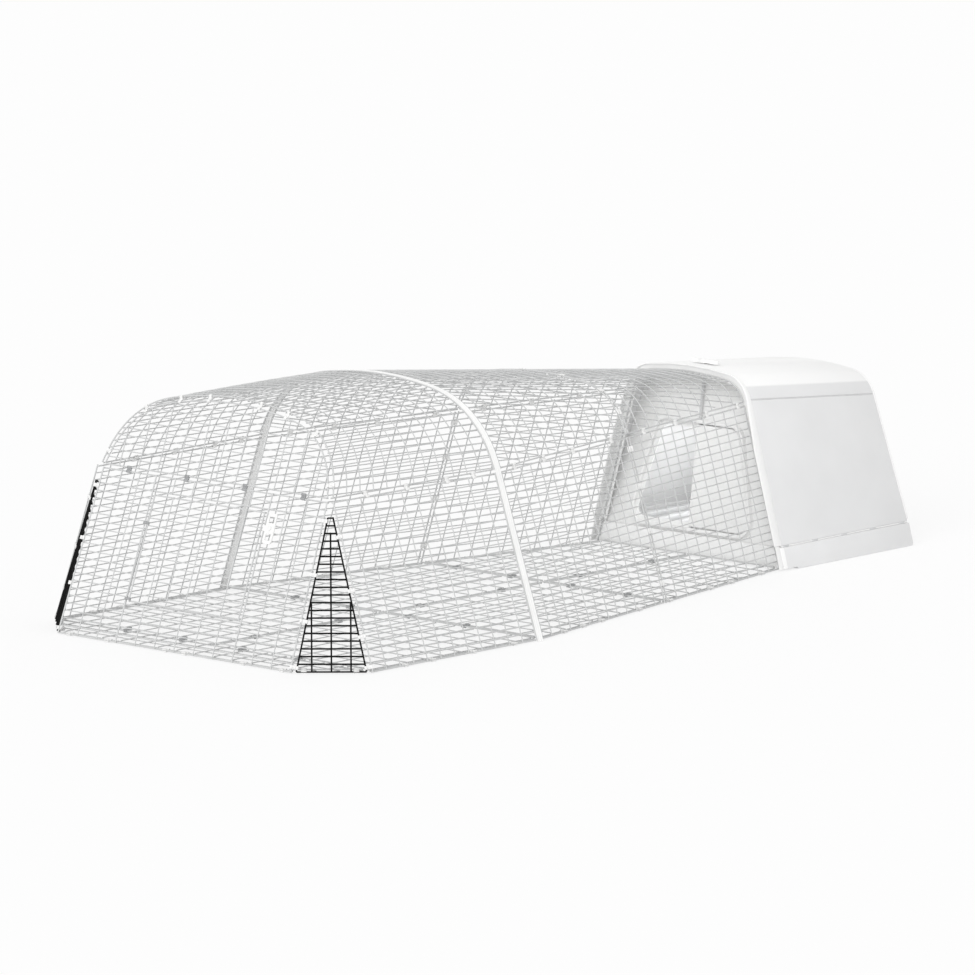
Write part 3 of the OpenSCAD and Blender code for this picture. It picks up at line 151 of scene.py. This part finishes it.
def skinned(name, dark, light, smooth, rough, grain_depth, blotch_scale=14, grain_scale=900,
            specular=0.35):
    """A coated or moulded finish: its colour and gloss wander with the blotches, and the grain raises
    its skin."""
    least_blotch, most_blotch = 0.3, 0.7
    material = bpy.data.materials.new(name)
    material.use_nodes = True
    links, parts = material.node_tree.links, material.node_tree.nodes
    shader = parts["Principled BSDF"]
    shader.inputs["Specular IOR Level"].default_value = specular
    place = parts.new("ShaderNodeTexCoord")
    skin = parts.new("ShaderNodeGroup")
    skin.node_tree = coat_skin
    skin.inputs["Blotch scale"].default_value = blotch_scale
    skin.inputs["Grain scale"].default_value = grain_scale
    tone = parts.new("ShaderNodeValToRGB")
    for stop, position, colour in zip(tone.color_ramp.elements, (least_blotch, most_blotch),
                                      (dark, light)):
        stop.position = position
        stop.color = (*colour, 1)
    gloss = parts.new("ShaderNodeMapRange")
    for label, value in (("From Min", least_blotch), ("From Max", most_blotch), ("To Min", smooth),
                         ("To Max", rough)):
        gloss.inputs[label].default_value = value
    raised = parts.new("ShaderNodeBump")
    raised.inputs["Distance"].default_value = grain_depth
    raised.inputs["Strength"].default_value = 0.5
    links.new(place.outputs["Object"], skin.inputs["Place"])
    links.new(skin.outputs["Blotch"], tone.inputs["Fac"])
    links.new(tone.outputs["Color"], shader.inputs["Base Color"])
    links.new(skin.outputs["Blotch"], gloss.inputs["Value"])
    links.new(gloss.outputs["Result"], shader.inputs["Roughness"])
    links.new(skin.outputs["Grain"], raised.inputs["Height"])
    links.new(raised.outputs["Normal"], shader.inputs["Normal"])
    return material


def dress(node, material):
    """Gives a CAD node that stays its finish."""
    nodes[node].data.materials.clear()
    nodes[node].data.materials.append(material)


def merged_copy(node):
    """A copy of a CAD node's mesh, with the doubled points of its loose triangles merged."""
    merge_reach = 1e-5
    mesh = bmesh.new()
    mesh.from_mesh(nodes[node].data)
    bmesh.ops.remove_doubles(mesh, verts=mesh.verts, dist=merge_reach)
    return mesh


def solids_of(node):
    """The separate solids of a CAD node: each one's points, and its faces' normals and areas."""
    mesh = merged_copy(node)
    mesh.verts.index_update()
    met, solids = set(), []
    for first in mesh.verts:
        if first.index in met:
            continue
        met.add(first.index)
        solid = [first]
        for vert in solid:
            for edge in vert.link_edges:
                other = edge.other_vert(vert)
                if other.index not in met:
                    met.add(other.index)
                    solid.append(other)
        faces = {face for vert in solid for face in vert.link_faces}
        faces = sorted(faces, key=lambda face: face.index)
        solids.append((np.array([vert.co for vert in solid]), np.array([face.normal for face in faces]),
                       np.array([face.calc_area() for face in faces])))
    mesh.free()
    return solids


def middles_of(points):
    """The middles of the rings that points lie in, in order along their longest side, and the last
    ring's radius."""
    ring_reach = 0.008
    middles, radius = [], 0
    while len(points):
        ring = np.linalg.norm(points - points[0], axis=1) < ring_reach
        middles.append(points[ring].mean(axis=0))
        radius = np.linalg.norm(points[ring] - middles[-1], axis=1).max()
        points = points[~ring]
    middles = np.array(middles)
    longest = np.argmax(np.ptp(middles, axis=0))
    return middles[np.argsort(middles[:, longest])], radius


def wire_paths(node):
    """The wires of a CAD node: each one's path along its middle, and its radius."""
    return [middles_of(points) for points, _, _ in solids_of(node)]


def crossings(paths, slack=0.0015):
    """The points where wires of the paths lie on each other. A pair of steps counts as crossing where
    it is slanted, near enough, and met within both steps."""
    least_slant = 0.1
    start = np.concatenate([points[:-1] for points, _ in paths])
    step = np.concatenate([np.diff(points, axis=0) for points, _ in paths])
    radius = np.concatenate([np.full(len(points) - 1, r) for points, r in paths])
    owner = np.concatenate([np.full(len(points) - 1, i) for i, (points, _) in enumerate(paths)])
    gap = start[:, None] - start[None]
    long = (step ** 2).sum(axis=1)
    across = step @ step.T
    first = np.einsum("ijk,ik->ij", gap, step)
    second = np.einsum("ijk,jk->ij", gap, step)
    spread = np.outer(long, long) - across ** 2
    slanted = spread > least_slant * np.outer(long, long)
    spread[~slanted] = 1
    s = (across * second - long[None] * first) / spread
    t = (long[:, None] * second - across * first) / spread
    here = start[:, None] + s[..., None] * step[:, None]
    there = start[None] + t[..., None] * step[None]
    near = np.linalg.norm(here - there, axis=2) < radius[:, None] + radius[None] + slack
    within = (s >= 0) & (s <= 1) & (t >= 0) & (t <= 1)
    hit = slanted & near & within & (owner[:, None] < owner[None])
    return (here[hit] + there[hit]) / 2


def grow_tree(name, inputs):
    """An empty Geometry Nodes tree with the given named inputs, and its two end nodes."""
    tree = bpy.data.node_groups.new(name, "GeometryNodeTree")
    tree.interface.new_socket("Geometry", in_out="INPUT", socket_type="NodeSocketGeometry")
    for label, kind in inputs.items():
        tree.interface.new_socket(label, in_out="INPUT", socket_type=kind)
    tree.interface.new_socket("Geometry", in_out="OUTPUT", socket_type="NodeSocketGeometry")
    return tree, tree.nodes.new("NodeGroupInput"), tree.nodes.new("NodeGroupOutput")


def plain_mesh(obj):
    """The mesh that an object's modifiers make."""
    bpy.context.view_layer.update()
    return bpy.data.meshes.new_from_object(obj.evaluated_get(bpy.context.evaluated_depsgraph_get()))


def grown(name, tree, settings, points, edges=(), fields=()):
    """A plain mesh object that a tree grows on the given points and their named fields."""
    seed = bpy.data.meshes.new(name)
    seed.from_pydata([tuple(p) for p in points], [tuple(e) for e in edges], [])
    for field, kind, values in fields:
        layer = seed.attributes.new(field, kind, "POINT")
        layer.data.foreach_set("vector" if kind == "FLOAT_VECTOR" else "value", np.ravel(values))
    obj = bpy.data.objects.new(name, seed)
    scene.collection.objects.link(obj)
    grow = obj.modifiers.new("grow", "NODES")
    grow.node_group = tree
    for socket in tree.interface.items_tree:
        if socket.in_out == "INPUT" and socket.name in settings:
            grow[socket.identifier] = settings[socket.name]
    plain = plain_mesh(obj)
    obj.modifiers.remove(grow)
    obj.data = plain
    return obj


least_bead, most_bead = 0.85, 1.1
weld_tree, ends_in, ends_out = grow_tree("weld_beads", {
    "Bead radius": "NodeSocketFloat", "Coating": "NodeSocketMaterial"})
bead = weld_tree.nodes.new("GeometryNodeMeshIcoSphere")
bead.inputs["Subdivisions"].default_value = 1
uneven = weld_tree.nodes.new("FunctionNodeRandomValue")
uneven.data_type = "FLOAT_VECTOR"
uneven.inputs["Min"].default_value = (least_bead,) * 3
uneven.inputs["Max"].default_value = (most_bead,) * 3
uneven.inputs["Seed"].default_value = 4
placed = weld_tree.nodes.new("GeometryNodeInstanceOnPoints")
rounded = weld_tree.nodes.new("GeometryNodeSetShadeSmooth")
solid = weld_tree.nodes.new("GeometryNodeRealizeInstances")
coated = weld_tree.nodes.new("GeometryNodeSetMaterial")
weld_tree.links.new(ends_in.outputs["Bead radius"], bead.inputs["Radius"])
weld_tree.links.new(bead.outputs["Mesh"], rounded.inputs["Geometry"])
weld_tree.links.new(ends_in.outputs["Geometry"], placed.inputs["Points"])
weld_tree.links.new(rounded.outputs["Geometry"], placed.inputs["Instance"])
weld_tree.links.new(uneven.outputs["Value"], placed.inputs["Scale"])
weld_tree.links.new(placed.outputs["Instances"], solid.inputs["Geometry"])
weld_tree.links.new(solid.outputs["Geometry"], coated.inputs["Geometry"])
weld_tree.links.new(ends_in.outputs["Coating"], coated.inputs["Material"])
weld_tree.links.new(coated.outputs["Geometry"], ends_out.inputs["Geometry"])

bays = ("house", "middle", "front")
wire_coat = skinned("coated_wire", (0.55, 0.555, 0.555), (0.63, 0.635, 0.635), 0.45, 0.6, 0.0002)
bead_radius = 0.0026


def weld(name, panels, body="frame", coat=wire_coat, radius=bead_radius):
    """Coats the panels and puts beads of weld where their wires cross."""
    points = np.concatenate([crossings(wire_paths(panel)) for panel in panels])
    beads = grown(name, weld_tree, {"Bead radius": radius, "Coating": coat}, points)
    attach(beads, body)
    for panel in panels:
        dress(panel, coat)


for hand in ("right", "left"):
    weld(f"side_welds_{hand}", [f"side_panel_{bay}_{hand}" for bay in bays])
    weld(f"floor_welds_{hand}", [f"floor_{bay}_{hand}" for bay in bays])
weld("floor_end_welds", ["floor_end"])
weld("front_welds", ["front_panel"])
weld("run_door_welds", ["run_door"], body="run_door")

# Black corner triangles: heavier wire with a black coating, in the two gaps beside the leaning front.
# They are welded like the panels and clipped to the front and to the sides.
triangle_coat = skinned("black_wire", (0.003, 0.003, 0.003), (0.008, 0.008, 0.008), 0.6, 0.75, 0.0002,
                        specular=0.1)
triangle_bead_radius = 0.0034
for hand in ("right", "left"):
    weld(f"triangle_welds_{hand}", [f"corner_triangle_{hand}"], coat=triangle_coat,
         radius=triangle_bead_radius)

# Bent roof wires: round wire bent over in true arcs, with lengthwise rods under them and a leaning
# arched panel at the front. Smooth tubes along the CAD wires' middles stand for the stepped ones.
bend_tree, ends_in, ends_out = grow_tree("bent_wires", {
    "Sides": "NodeSocketInt", "Coating": "NodeSocketMaterial"})
line = bend_tree.nodes.new("GeometryNodeMeshToCurve")
gauge = bend_tree.nodes.new("GeometryNodeInputNamedAttribute")
gauge.data_type = "FLOAT"
gauge.inputs["Name"].default_value = "gauge"
section = bend_tree.nodes.new("GeometryNodeCurvePrimitiveCircle")
section.inputs["Radius"].default_value = 1
tube = bend_tree.nodes.new("GeometryNodeCurveToMesh")
tube.inputs["Fill Caps"].default_value = True
smooth_tube = bend_tree.nodes.new("GeometryNodeSetShadeSmooth")
solid = bend_tree.nodes.new("GeometryNodeRealizeInstances")
coated = bend_tree.nodes.new("GeometryNodeSetMaterial")
bend_tree.links.new(ends_in.outputs["Geometry"], line.inputs["Mesh"])
bend_tree.links.new(ends_in.outputs["Sides"], section.inputs["Resolution"])
bend_tree.links.new(line.outputs["Curve"], tube.inputs["Curve"])
bend_tree.links.new(section.outputs["Curve"], tube.inputs["Profile Curve"])
bend_tree.links.new(gauge.outputs["Attribute"], tube.inputs["Scale"])
bend_tree.links.new(tube.outputs["Mesh"], smooth_tube.inputs["Geometry"])
bend_tree.links.new(smooth_tube.outputs["Geometry"], solid.inputs["Geometry"])
bend_tree.links.new(solid.outputs["Geometry"], coated.inputs["Geometry"])
bend_tree.links.new(ends_in.outputs["Coating"], coated.inputs["Material"])
bend_tree.links.new(coated.outputs["Geometry"], ends_out.inputs["Geometry"])


def eased_path(points, steps):
    """The smooth curve that touches a stepped path at the middle of each of its steps."""
    middles = (points[:-1] + points[1:]) / 2
    eased = [points[0]]
    for before, corner, after in zip(middles[:-1], points[1:-1], middles[1:]):
        for u in np.arange(steps) / steps:
            eased.append((1 - u) ** 2 * before + 2 * u * (1 - u) * corner + u ** 2 * after)
    return np.array(eased + [middles[-1], points[-1]])


def bend(name, paths, coat, sides=8):
    """Round tubes along the paths, as one piece."""
    points, edges, gauges = [], [], []
    for path, radius in paths:
        edges += [(len(points) + i, len(points) + i + 1) for i in range(len(path) - 1)]
        points += list(path)
        gauges += [radius] * len(path)
    return grown(name, bend_tree, {"Sides": sides, "Coating": coat}, points, edges,
                 [("gauge", "FLOAT", gauges)])


bend_steps, roof_slack = 5, 0.003
bead_look = {"Bead radius": bead_radius, "Coating": wire_coat}
for bay in bays:
    rods, hoops = wire_paths(f"roof_rods_{bay}"), wire_paths(f"roof_hoops_{bay}")
    beads = grown(f"roof_welds_{bay}", weld_tree, bead_look, crossings(rods + hoops, slack=roof_slack))
    rod_piece = bend(f"roof_rods_{bay}_smooth", rods, wire_coat)
    hoop_piece = bend(f"roof_hoops_{bay}_bent", [(eased_path(p, bend_steps), r) for p, r in hoops],
                      wire_coat)
    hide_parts(f"roof_rods_{bay}")
    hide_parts(f"roof_hoops_{bay}")
    for piece in (beads, rod_piece, hoop_piece):
        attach(piece, "frame")

arch_wires = wire_paths("front_arch_panel")
arch_piece = bend("front_arch_bent", [(eased_path(p, bend_steps), r) for p, r in arch_wires], wire_coat)
arch_beads = grown("front_arch_welds", weld_tree, bead_look, crossings(arch_wires))
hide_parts("front_arch_panel")
for piece in (arch_piece, arch_beads):
    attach(piece, "frame")

# Middle hoop: a flat white moulded band between the front and the middle bay, standing on the ground.
# It is extruded with a rolled edge along each side and a low rib down its middle.
white_low, white_high = (0.88, 0.88, 0.875), (0.93, 0.93, 0.925)
hoop_white = skinned("hoop_white", white_low, white_high, 0.4, 0.55, 0.0001)
roll_radius, rib_radius, edge_reach = 0.0024, 0.0024, 1e-4
band = np.concatenate([points for points, _, _ in solids_of("middle_hoop")])
across = band[:, 1]
edges_of_band = []
for side in (across.min(), across.max()):
    middles, _ = middles_of(band[np.abs(across - side) < edge_reach])
    middles[:, 2] = np.maximum(middles[:, 2], roll_radius / 2)
    edges_of_band.append(middles)
inset = np.array([0, roll_radius, 0])
band_lines = [(edges_of_band[0] + inset, roll_radius), (edges_of_band[1] - inset, roll_radius),
              ((edges_of_band[0] + edges_of_band[1]) / 2, rib_radius)]
rolled = bend("middle_hoop_rolled_edges", band_lines, hoop_white, sides=10)
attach(rolled, "frame")
dress("middle_hoop", hoop_white)

# Snap clips: small moulded clips that join neighbouring border wires. Each has two sprung jaws with
# a slit to push a wire in, and a ribbed bridge between them.
clip_tree, ends_in, ends_out = grow_tree("snap_clips", {
    "Bore radius": "NodeSocketFloat", "Jaw wall": "NodeSocketFloat", "Clip length": "NodeSocketFloat",
    "Slit": "NodeSocketFloat", "Plastic": "NodeSocketMaterial"})
edge_round, jaw_points = 0.0006, 11
plate_walls, rib_walls, rib_share = 1.5, 3.2, 0.25


def tree_math(tree, operation, first, second):
    """The result of one operation on two tree values or numbers."""
    node = tree.nodes.new("ShaderNodeMath")
    node.operation = operation
    for socket, value in zip(node.inputs, (first, second)):
        if isinstance(value, (int, float)):
            socket.default_value = value
        else:
            tree.links.new(value, socket)
    return node.outputs[0]


def bar_along(tree, curve, width, height):
    """A bar of rounded square section along a curve."""
    square = tree.nodes.new("GeometryNodeCurvePrimitiveQuadrilateral")
    softened = tree.nodes.new("GeometryNodeFilletCurve")
    softened.mode = "POLY"
    softened.inputs["Count"].default_value = 1
    softened.inputs["Radius"].default_value = edge_round
    bar = tree.nodes.new("GeometryNodeCurveToMesh")
    bar.inputs["Fill Caps"].default_value = True
    tree.links.new(width, square.inputs["Width"])
    tree.links.new(height, square.inputs["Height"])
    tree.links.new(square.outputs["Curve"], softened.inputs["Curve"])
    tree.links.new(curve, bar.inputs["Curve"])
    tree.links.new(softened.outputs["Curve"], bar.inputs["Profile Curve"])
    return bar.outputs["Mesh"]


wall, length, slit = (ends_in.outputs[label] for label in ("Jaw wall", "Clip length", "Slit"))
ring = clip_tree.nodes.new("GeometryNodeCurveArc")
ring.inputs["Resolution"].default_value = jaw_points
half_wall = tree_math(clip_tree, "MULTIPLY", wall, 0.5)
ring_radius = tree_math(clip_tree, "ADD", ends_in.outputs["Bore radius"], half_wall)
clip_tree.links.new(ring_radius, ring.inputs["Radius"])
clip_tree.links.new(tree_math(clip_tree, "MULTIPLY", slit, 0.5), ring.inputs["Start Angle"])
clip_tree.links.new(tree_math(clip_tree, "SUBTRACT", 2 * math.pi, slit), ring.inputs["Sweep Angle"])
jaw = bar_along(clip_tree, ring.outputs["Curve"], wall, length)
link = clip_tree.nodes.new("GeometryNodeCurvePrimitiveLine")
link.inputs["Start"].default_value, link.inputs["End"].default_value = (-0.5, 0, 0), (0.5, 0, 0)
plate = bar_along(clip_tree, link.outputs["Curve"], tree_math(clip_tree, "MULTIPLY", wall, plate_walls),
                  length)
rib = bar_along(clip_tree, link.outputs["Curve"], tree_math(clip_tree, "MULTIPLY", wall, rib_walls),
                tree_math(clip_tree, "MULTIPLY", length, rib_share))
bridge = clip_tree.nodes.new("GeometryNodeJoinGeometry")
clip_tree.links.new(plate, bridge.inputs["Geometry"])
clip_tree.links.new(rib, bridge.inputs["Geometry"])
turn, stretch, is_bridge = (clip_tree.nodes.new("GeometryNodeInputNamedAttribute") for _ in range(3))
for field, kind, label in ((turn, "FLOAT_VECTOR", "turn"), (stretch, "FLOAT_VECTOR", "stretch"),
                           (is_bridge, "BOOLEAN", "is_bridge")):
    field.data_type = kind
    field.inputs["Name"].default_value = label
is_jaw = clip_tree.nodes.new("FunctionNodeBooleanMath")
is_jaw.operation = "NOT"
clip_tree.links.new(is_bridge.outputs["Attribute"], is_jaw.inputs[0])
whole = clip_tree.nodes.new("GeometryNodeJoinGeometry")
for shape, chosen in ((jaw, is_jaw.outputs[0]),
                      (bridge.outputs["Geometry"], is_bridge.outputs["Attribute"])):
    placed = clip_tree.nodes.new("GeometryNodeInstanceOnPoints")
    clip_tree.links.new(ends_in.outputs["Geometry"], placed.inputs["Points"])
    clip_tree.links.new(chosen, placed.inputs["Selection"])
    clip_tree.links.new(shape, placed.inputs["Instance"])
    clip_tree.links.new(turn.outputs["Attribute"], placed.inputs["Rotation"])
    clip_tree.links.new(stretch.outputs["Attribute"], placed.inputs["Scale"])
    clip_tree.links.new(placed.outputs["Instances"], whole.inputs["Geometry"])
solid = clip_tree.nodes.new("GeometryNodeRealizeInstances")
coated = clip_tree.nodes.new("GeometryNodeSetMaterial")
clip_tree.links.new(whole.outputs["Geometry"], solid.inputs["Geometry"])
clip_tree.links.new(solid.outputs["Geometry"], coated.inputs["Geometry"])
clip_tree.links.new(ends_in.outputs["Plastic"], coated.inputs["Material"])
clip_tree.links.new(coated.outputs["Geometry"], ends_out.inputs["Geometry"])


def clip_places(node):
    """The middle, axes, span, half thickness and length of each clip of a CAD node. All its points lie
    on its two end faces, and its widest flat faces lie along its bridge."""
    square_on, same_way = 0.01, 0.9999
    places = []
    for points, normals, areas in solids_of(node):
        heights = points @ normals.T
        off_ends = np.minimum(heights - heights.min(axis=0), heights.max(axis=0) - heights).max(axis=0)
        bore = normals[np.argmin(off_ends)]
        sides = np.abs(normals @ bore) < square_on
        ways, widths = normals[sides], areas[sides]
        flat = max(ways, key=lambda way: widths[np.abs(ways @ way) > same_way].sum())
        axes = np.array([np.cross(flat, bore), flat, bore])
        low, high = (points @ axes.T).min(axis=0), (points @ axes.T).max(axis=0)
        size = high - low
        places.append(((low + high) / 2 @ axes, axes, size[0] - size[1], size[1] / 2, size[2]))
    return places


def snap_clips(node, plastic, bore_radius):
    """Moulded clips in the places of a node's CAD clips."""
    slit_angle = math.radians(70)
    points, turns, stretches, bridges = [], [], [], []
    for middle, axes, span, half, clip_length in clip_places(node):
        jaw_wall = half - bore_radius
        for hand in (1, -1):
            points.append(middle + axes[0] * hand * span / 2)
            turns.append(Matrix((axes[0] * hand, axes[1] * hand, axes[2])).transposed().to_euler())
            stretches.append((1, 1, 1))
        points.append(middle)
        turns.append(Matrix(axes).transposed().to_euler())
        stretches.append((span - 2 * bore_radius - jaw_wall, 1, 1))
        bridges += [False, False, True]
    clip_sizes = {"Bore radius": bore_radius, "Jaw wall": jaw_wall, "Clip length": clip_length,
                  "Slit": slit_angle, "Plastic": plastic}
    fields = [("turn", "FLOAT_VECTOR", turns), ("stretch", "FLOAT_VECTOR", stretches),
              ("is_bridge", "BOOLEAN", bridges)]
    clips = grown(f"{node}_snapped", clip_tree, clip_sizes, points, (), fields)
    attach(clips, "frame")
    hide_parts(node)


clip_white = skinned("clip_white", (0.8, 0.8, 0.795), (0.88, 0.88, 0.875), 0.4, 0.55, 0.0001,
                     blotch_scale=60)
clip_grey_and_shade = skinned("clip_grey_and_shade", (0.3, 0.305, 0.31), (0.38, 0.385, 0.39), 0.45, 0.6, 0.0001,
                    blotch_scale=60)
border_bore, loose_bore = 0.0026, 0.003
for node in ("ground_clips", "waist_clips", "post_clips"):
    snap_clips(node, clip_white, border_bore)
for node in ("roof_seam_clips", "arch_clips", "corner_clips"):
    snap_clips(node, clip_white, loose_bore)
# On the front seam clips this grey is painted shade, standing for the shaded backs of white clips.
for node in ("floor_clips", "front_seam_clips"):
    snap_clips(node, clip_grey_and_shade, border_bore)

# Run door furniture: two grey knuckles that carry the door on its frame, and a white turn latch on a
# pin in a block. They are injection moulded, so their edges are eased.
def eased(node, ease, material, slot, body="frame"):
    """A moulding in place of a CAD node, with the sharp edges between its larger faces rounded off."""
    sharp, flat, least_face = math.radians(35), math.radians(0.6), 3e-5
    shape = merged_copy(node)
    bmesh.ops.dissolve_limit(shape, angle_limit=flat, verts=shape.verts, edges=shape.edges)
    weight = shape.edges.layers.float.new("bevel_weight_edge")
    for edge in shape.edges:
        if len(edge.link_faces) == 2 and edge.calc_face_angle() > sharp:
            edge[weight] = min(face.calc_area() for face in edge.link_faces) > least_face
    mesh = bpy.data.meshes.new(f"{node}_moulded")
    shape.to_mesh(mesh)
    shape.free()
    piece = bpy.data.objects.new(f"{node}_moulded", mesh)
    scene.collection.objects.link(piece)
    rounding = piece.modifiers.new("eased", "BEVEL")
    rounding.limit_method = "WEIGHT"
    rounding.width = ease
    rounding.segments = 2
    rounding.use_clamp_overlap = False
    piece.data = plain_mesh(piece)
    piece.modifiers.remove(rounding)
    piece.data.materials.clear()
    piece.data.materials.append(material)
    piece.data.shade_smooth()
    piece.data.set_sharp_from_angle(angle=sharp)
    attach(piece, body)
    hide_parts(node)


eased("run_door_hinges", 0.0006, clip_grey_and_shade, "grey_clip", body="run_door")
eased("run_door_latch_block", 0.0008, clip_white, "white_clip")
eased("run_door_latch", 0.0008, clip_white, "white_clip", body="run_door_latch")

# House base: a heavy moulding that stands on the ground and holds the tray, painted pale grey on its
# sides as painted shade, with a white strip down its front corners where the painted shade stops. Its
# edges are rounded, as a mould needs.
house_front = 0.89102


def house_skin(name, dark, light):
    """The matt grained finish of the house's mouldings."""
    return skinned(name, dark, light, 0.42, 0.58, 0.00025, blotch_scale=5, grain_scale=700)


def end_painted_shade(material, direction, start, end):
    """Ends the painted shade: turns a finish white where the surface lies further along a direction
    than start, blended until end."""
    links, parts = material.node_tree.links, material.node_tree.nodes
    along = parts.new("ShaderNodeVectorMath")
    along.operation = "DOT_PRODUCT"
    along.inputs[1].default_value = direction
    fade = parts.new("ShaderNodeMapRange")
    fade.inputs["From Min"].default_value, fade.inputs["From Max"].default_value = start, end
    unshaded = parts.new("ShaderNodeMix")
    unshaded.data_type = "RGBA"
    unshaded.inputs["B"].default_value = (*white_high, 1)
    links.new(parts["Texture Coordinate"].outputs["Object"], along.inputs[0])
    links.new(along.outputs["Value"], fade.inputs["Value"])
    links.new(fade.outputs["Result"], unshaded.inputs["Factor"])
    links.new(parts["Color Ramp"].outputs["Color"], unshaded.inputs["A"])
    links.new(unshaded.outputs["Result"], parts["Principled BSDF"].inputs["Base Color"])


# Painted shade: these pale greys stand for the white house's sides in shade.
shade_grey_low, shade_grey_high = (0.75, 0.752, 0.755), (0.79, 0.792, 0.795)
base_painted_shade = house_skin("house_base_grey", shade_grey_low, shade_grey_high)
# The painted shade on the base stops a strip short of its front, which stays white.
shade_front_edge, shade_front_blend = house_front + 0.018, 0.002
end_painted_shade(base_painted_shade, (0, -1, 0), -shade_front_edge, shade_front_blend - shade_front_edge)
eased("house_base", 0.0025, base_painted_shade, "white_plastic")

# House shell: one moulding for both sides and the roof, with a groove along each shoulder. Its sides
# are painted pale grey as painted shade, and its roof is left white as the lit top, with the change a
# little above the groove. A white sealing strip lies in the joint between shell and base.
shell_painted_shade = house_skin("house_shell_grey", shade_grey_low, shade_grey_high)
roof_slope = math.radians(4.9)
# The painted shade on the shell ends a little above the groove, where the roof stays white.
groove_height, shade_top_above_groove, shade_top_blend = 0.554, 0.04, 0.006
roof_up = (0, math.sin(roof_slope), math.cos(roof_slope))
shade_top = groove_height + shade_top_above_groove + house_front * roof_up[1]
end_painted_shade(shell_painted_shade, roof_up, shade_top, shade_top + shade_top_blend)
eased("house_shell", 0.0015, shell_painted_shade, "grey_plastic")

house_white = house_skin("house_white", white_low, white_high)
joint_radius, joint_in, foot_reach = 0.0033, 0.0042, 1e-4
shell_points = np.concatenate([points for points, _, _ in solids_of("house_shell")])
foot = shell_points[shell_points[:, 2] < shell_points[:, 2].min() + foot_reach]
joint_lines = []
for hand in (1, -1):
    side = foot[foot[:, 0] * hand > 0]
    ends = [max(side[side[:, 1] == y], key=lambda point: abs(point[0]))
            for y in (side[:, 1].min(), side[:, 1].max())]
    joint_lines.append((np.array(ends) - (hand * joint_in, 0, joint_radius), joint_radius))
joint_strip = bend("shell_joint_strip", joint_lines, house_white, sides=10)
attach(joint_strip, "frame")

# Front rim and front wall: white mouldings that close the house towards the run. The hooded rim laps
# over the end of the run, and the wall behind it has the pop hole. Small grey catches hold the shell.
fitting_grey = skinned("fitting_grey", (0.6, 0.605, 0.61), (0.68, 0.685, 0.69), 0.4, 0.55, 0.0002,
                       blotch_scale=9)
eased("front_rim", 0.0015, house_white, "white_plastic")
eased("front_wall", 0.0015, house_white, "white_plastic")
eased("shell_catches", 0.0006, fitting_grey, "white_plastic")

# Pop door: a white leaf in the front wall, moulded on to an upright grey shaft. The handle on the
# roof turns the shaft and the door together.
eased("pop_door", 0.002, house_white, "white_plastic", body="pop_door")
eased("roof_handle", 0.002, house_white, "white_plastic", body="pop_door")
dress("pop_door_shaft", fitting_grey)

# Rear door: a white moulding with air slits that drops on two drawn steel pins. A grey turn latch at
# its top holds it shut.
pin_steel = skinned("pin_steel", (0.55, 0.55, 0.56), (0.65, 0.65, 0.66), 0.25, 0.4, 0.00005,
                    blotch_scale=90)
pin_steel.node_tree.nodes["Principled BSDF"].inputs["Metallic"].default_value = 1.0
eased("rear_door", 0.002, house_white, "white_plastic", body="rear_door")
eased("rear_door_latch", 0.0015, fitting_grey, "grey_plastic", body="rear_door_latch")
dress("rear_hinge_pins", pin_steel)

# Inside of the house: a grey droppings tray that slides out at the back, under roosting bars and a
# nest divider. A soft lamp stands for the light that the pale shell lets through.
eased("droppings_tray", 0.001, fitting_grey, "grey_plastic", body="droppings_tray")
eased("roosting_bars", 0.005, fitting_grey, "grey_plastic")
eased("nest_divider", 0.002, fitting_grey, "grey_plastic")
glow_place, glow_way = (0.14, house_front + 0.38, 0.28), Vector((-1, 0, 0))
glow = bpy.data.lights.new("house_glow", "AREA")
glow.shape = "SQUARE"
glow.energy, glow.size = 2.4, 0.3
glow_lamp = bpy.data.objects.new("house_glow", glow)
glow_lamp.location = glow_place
glow_lamp.rotation_euler = glow_way.to_track_quat("-Z", "Y").to_euler()
glow_lamp.visible_camera = False
scene.collection.objects.link(glow_lamp)
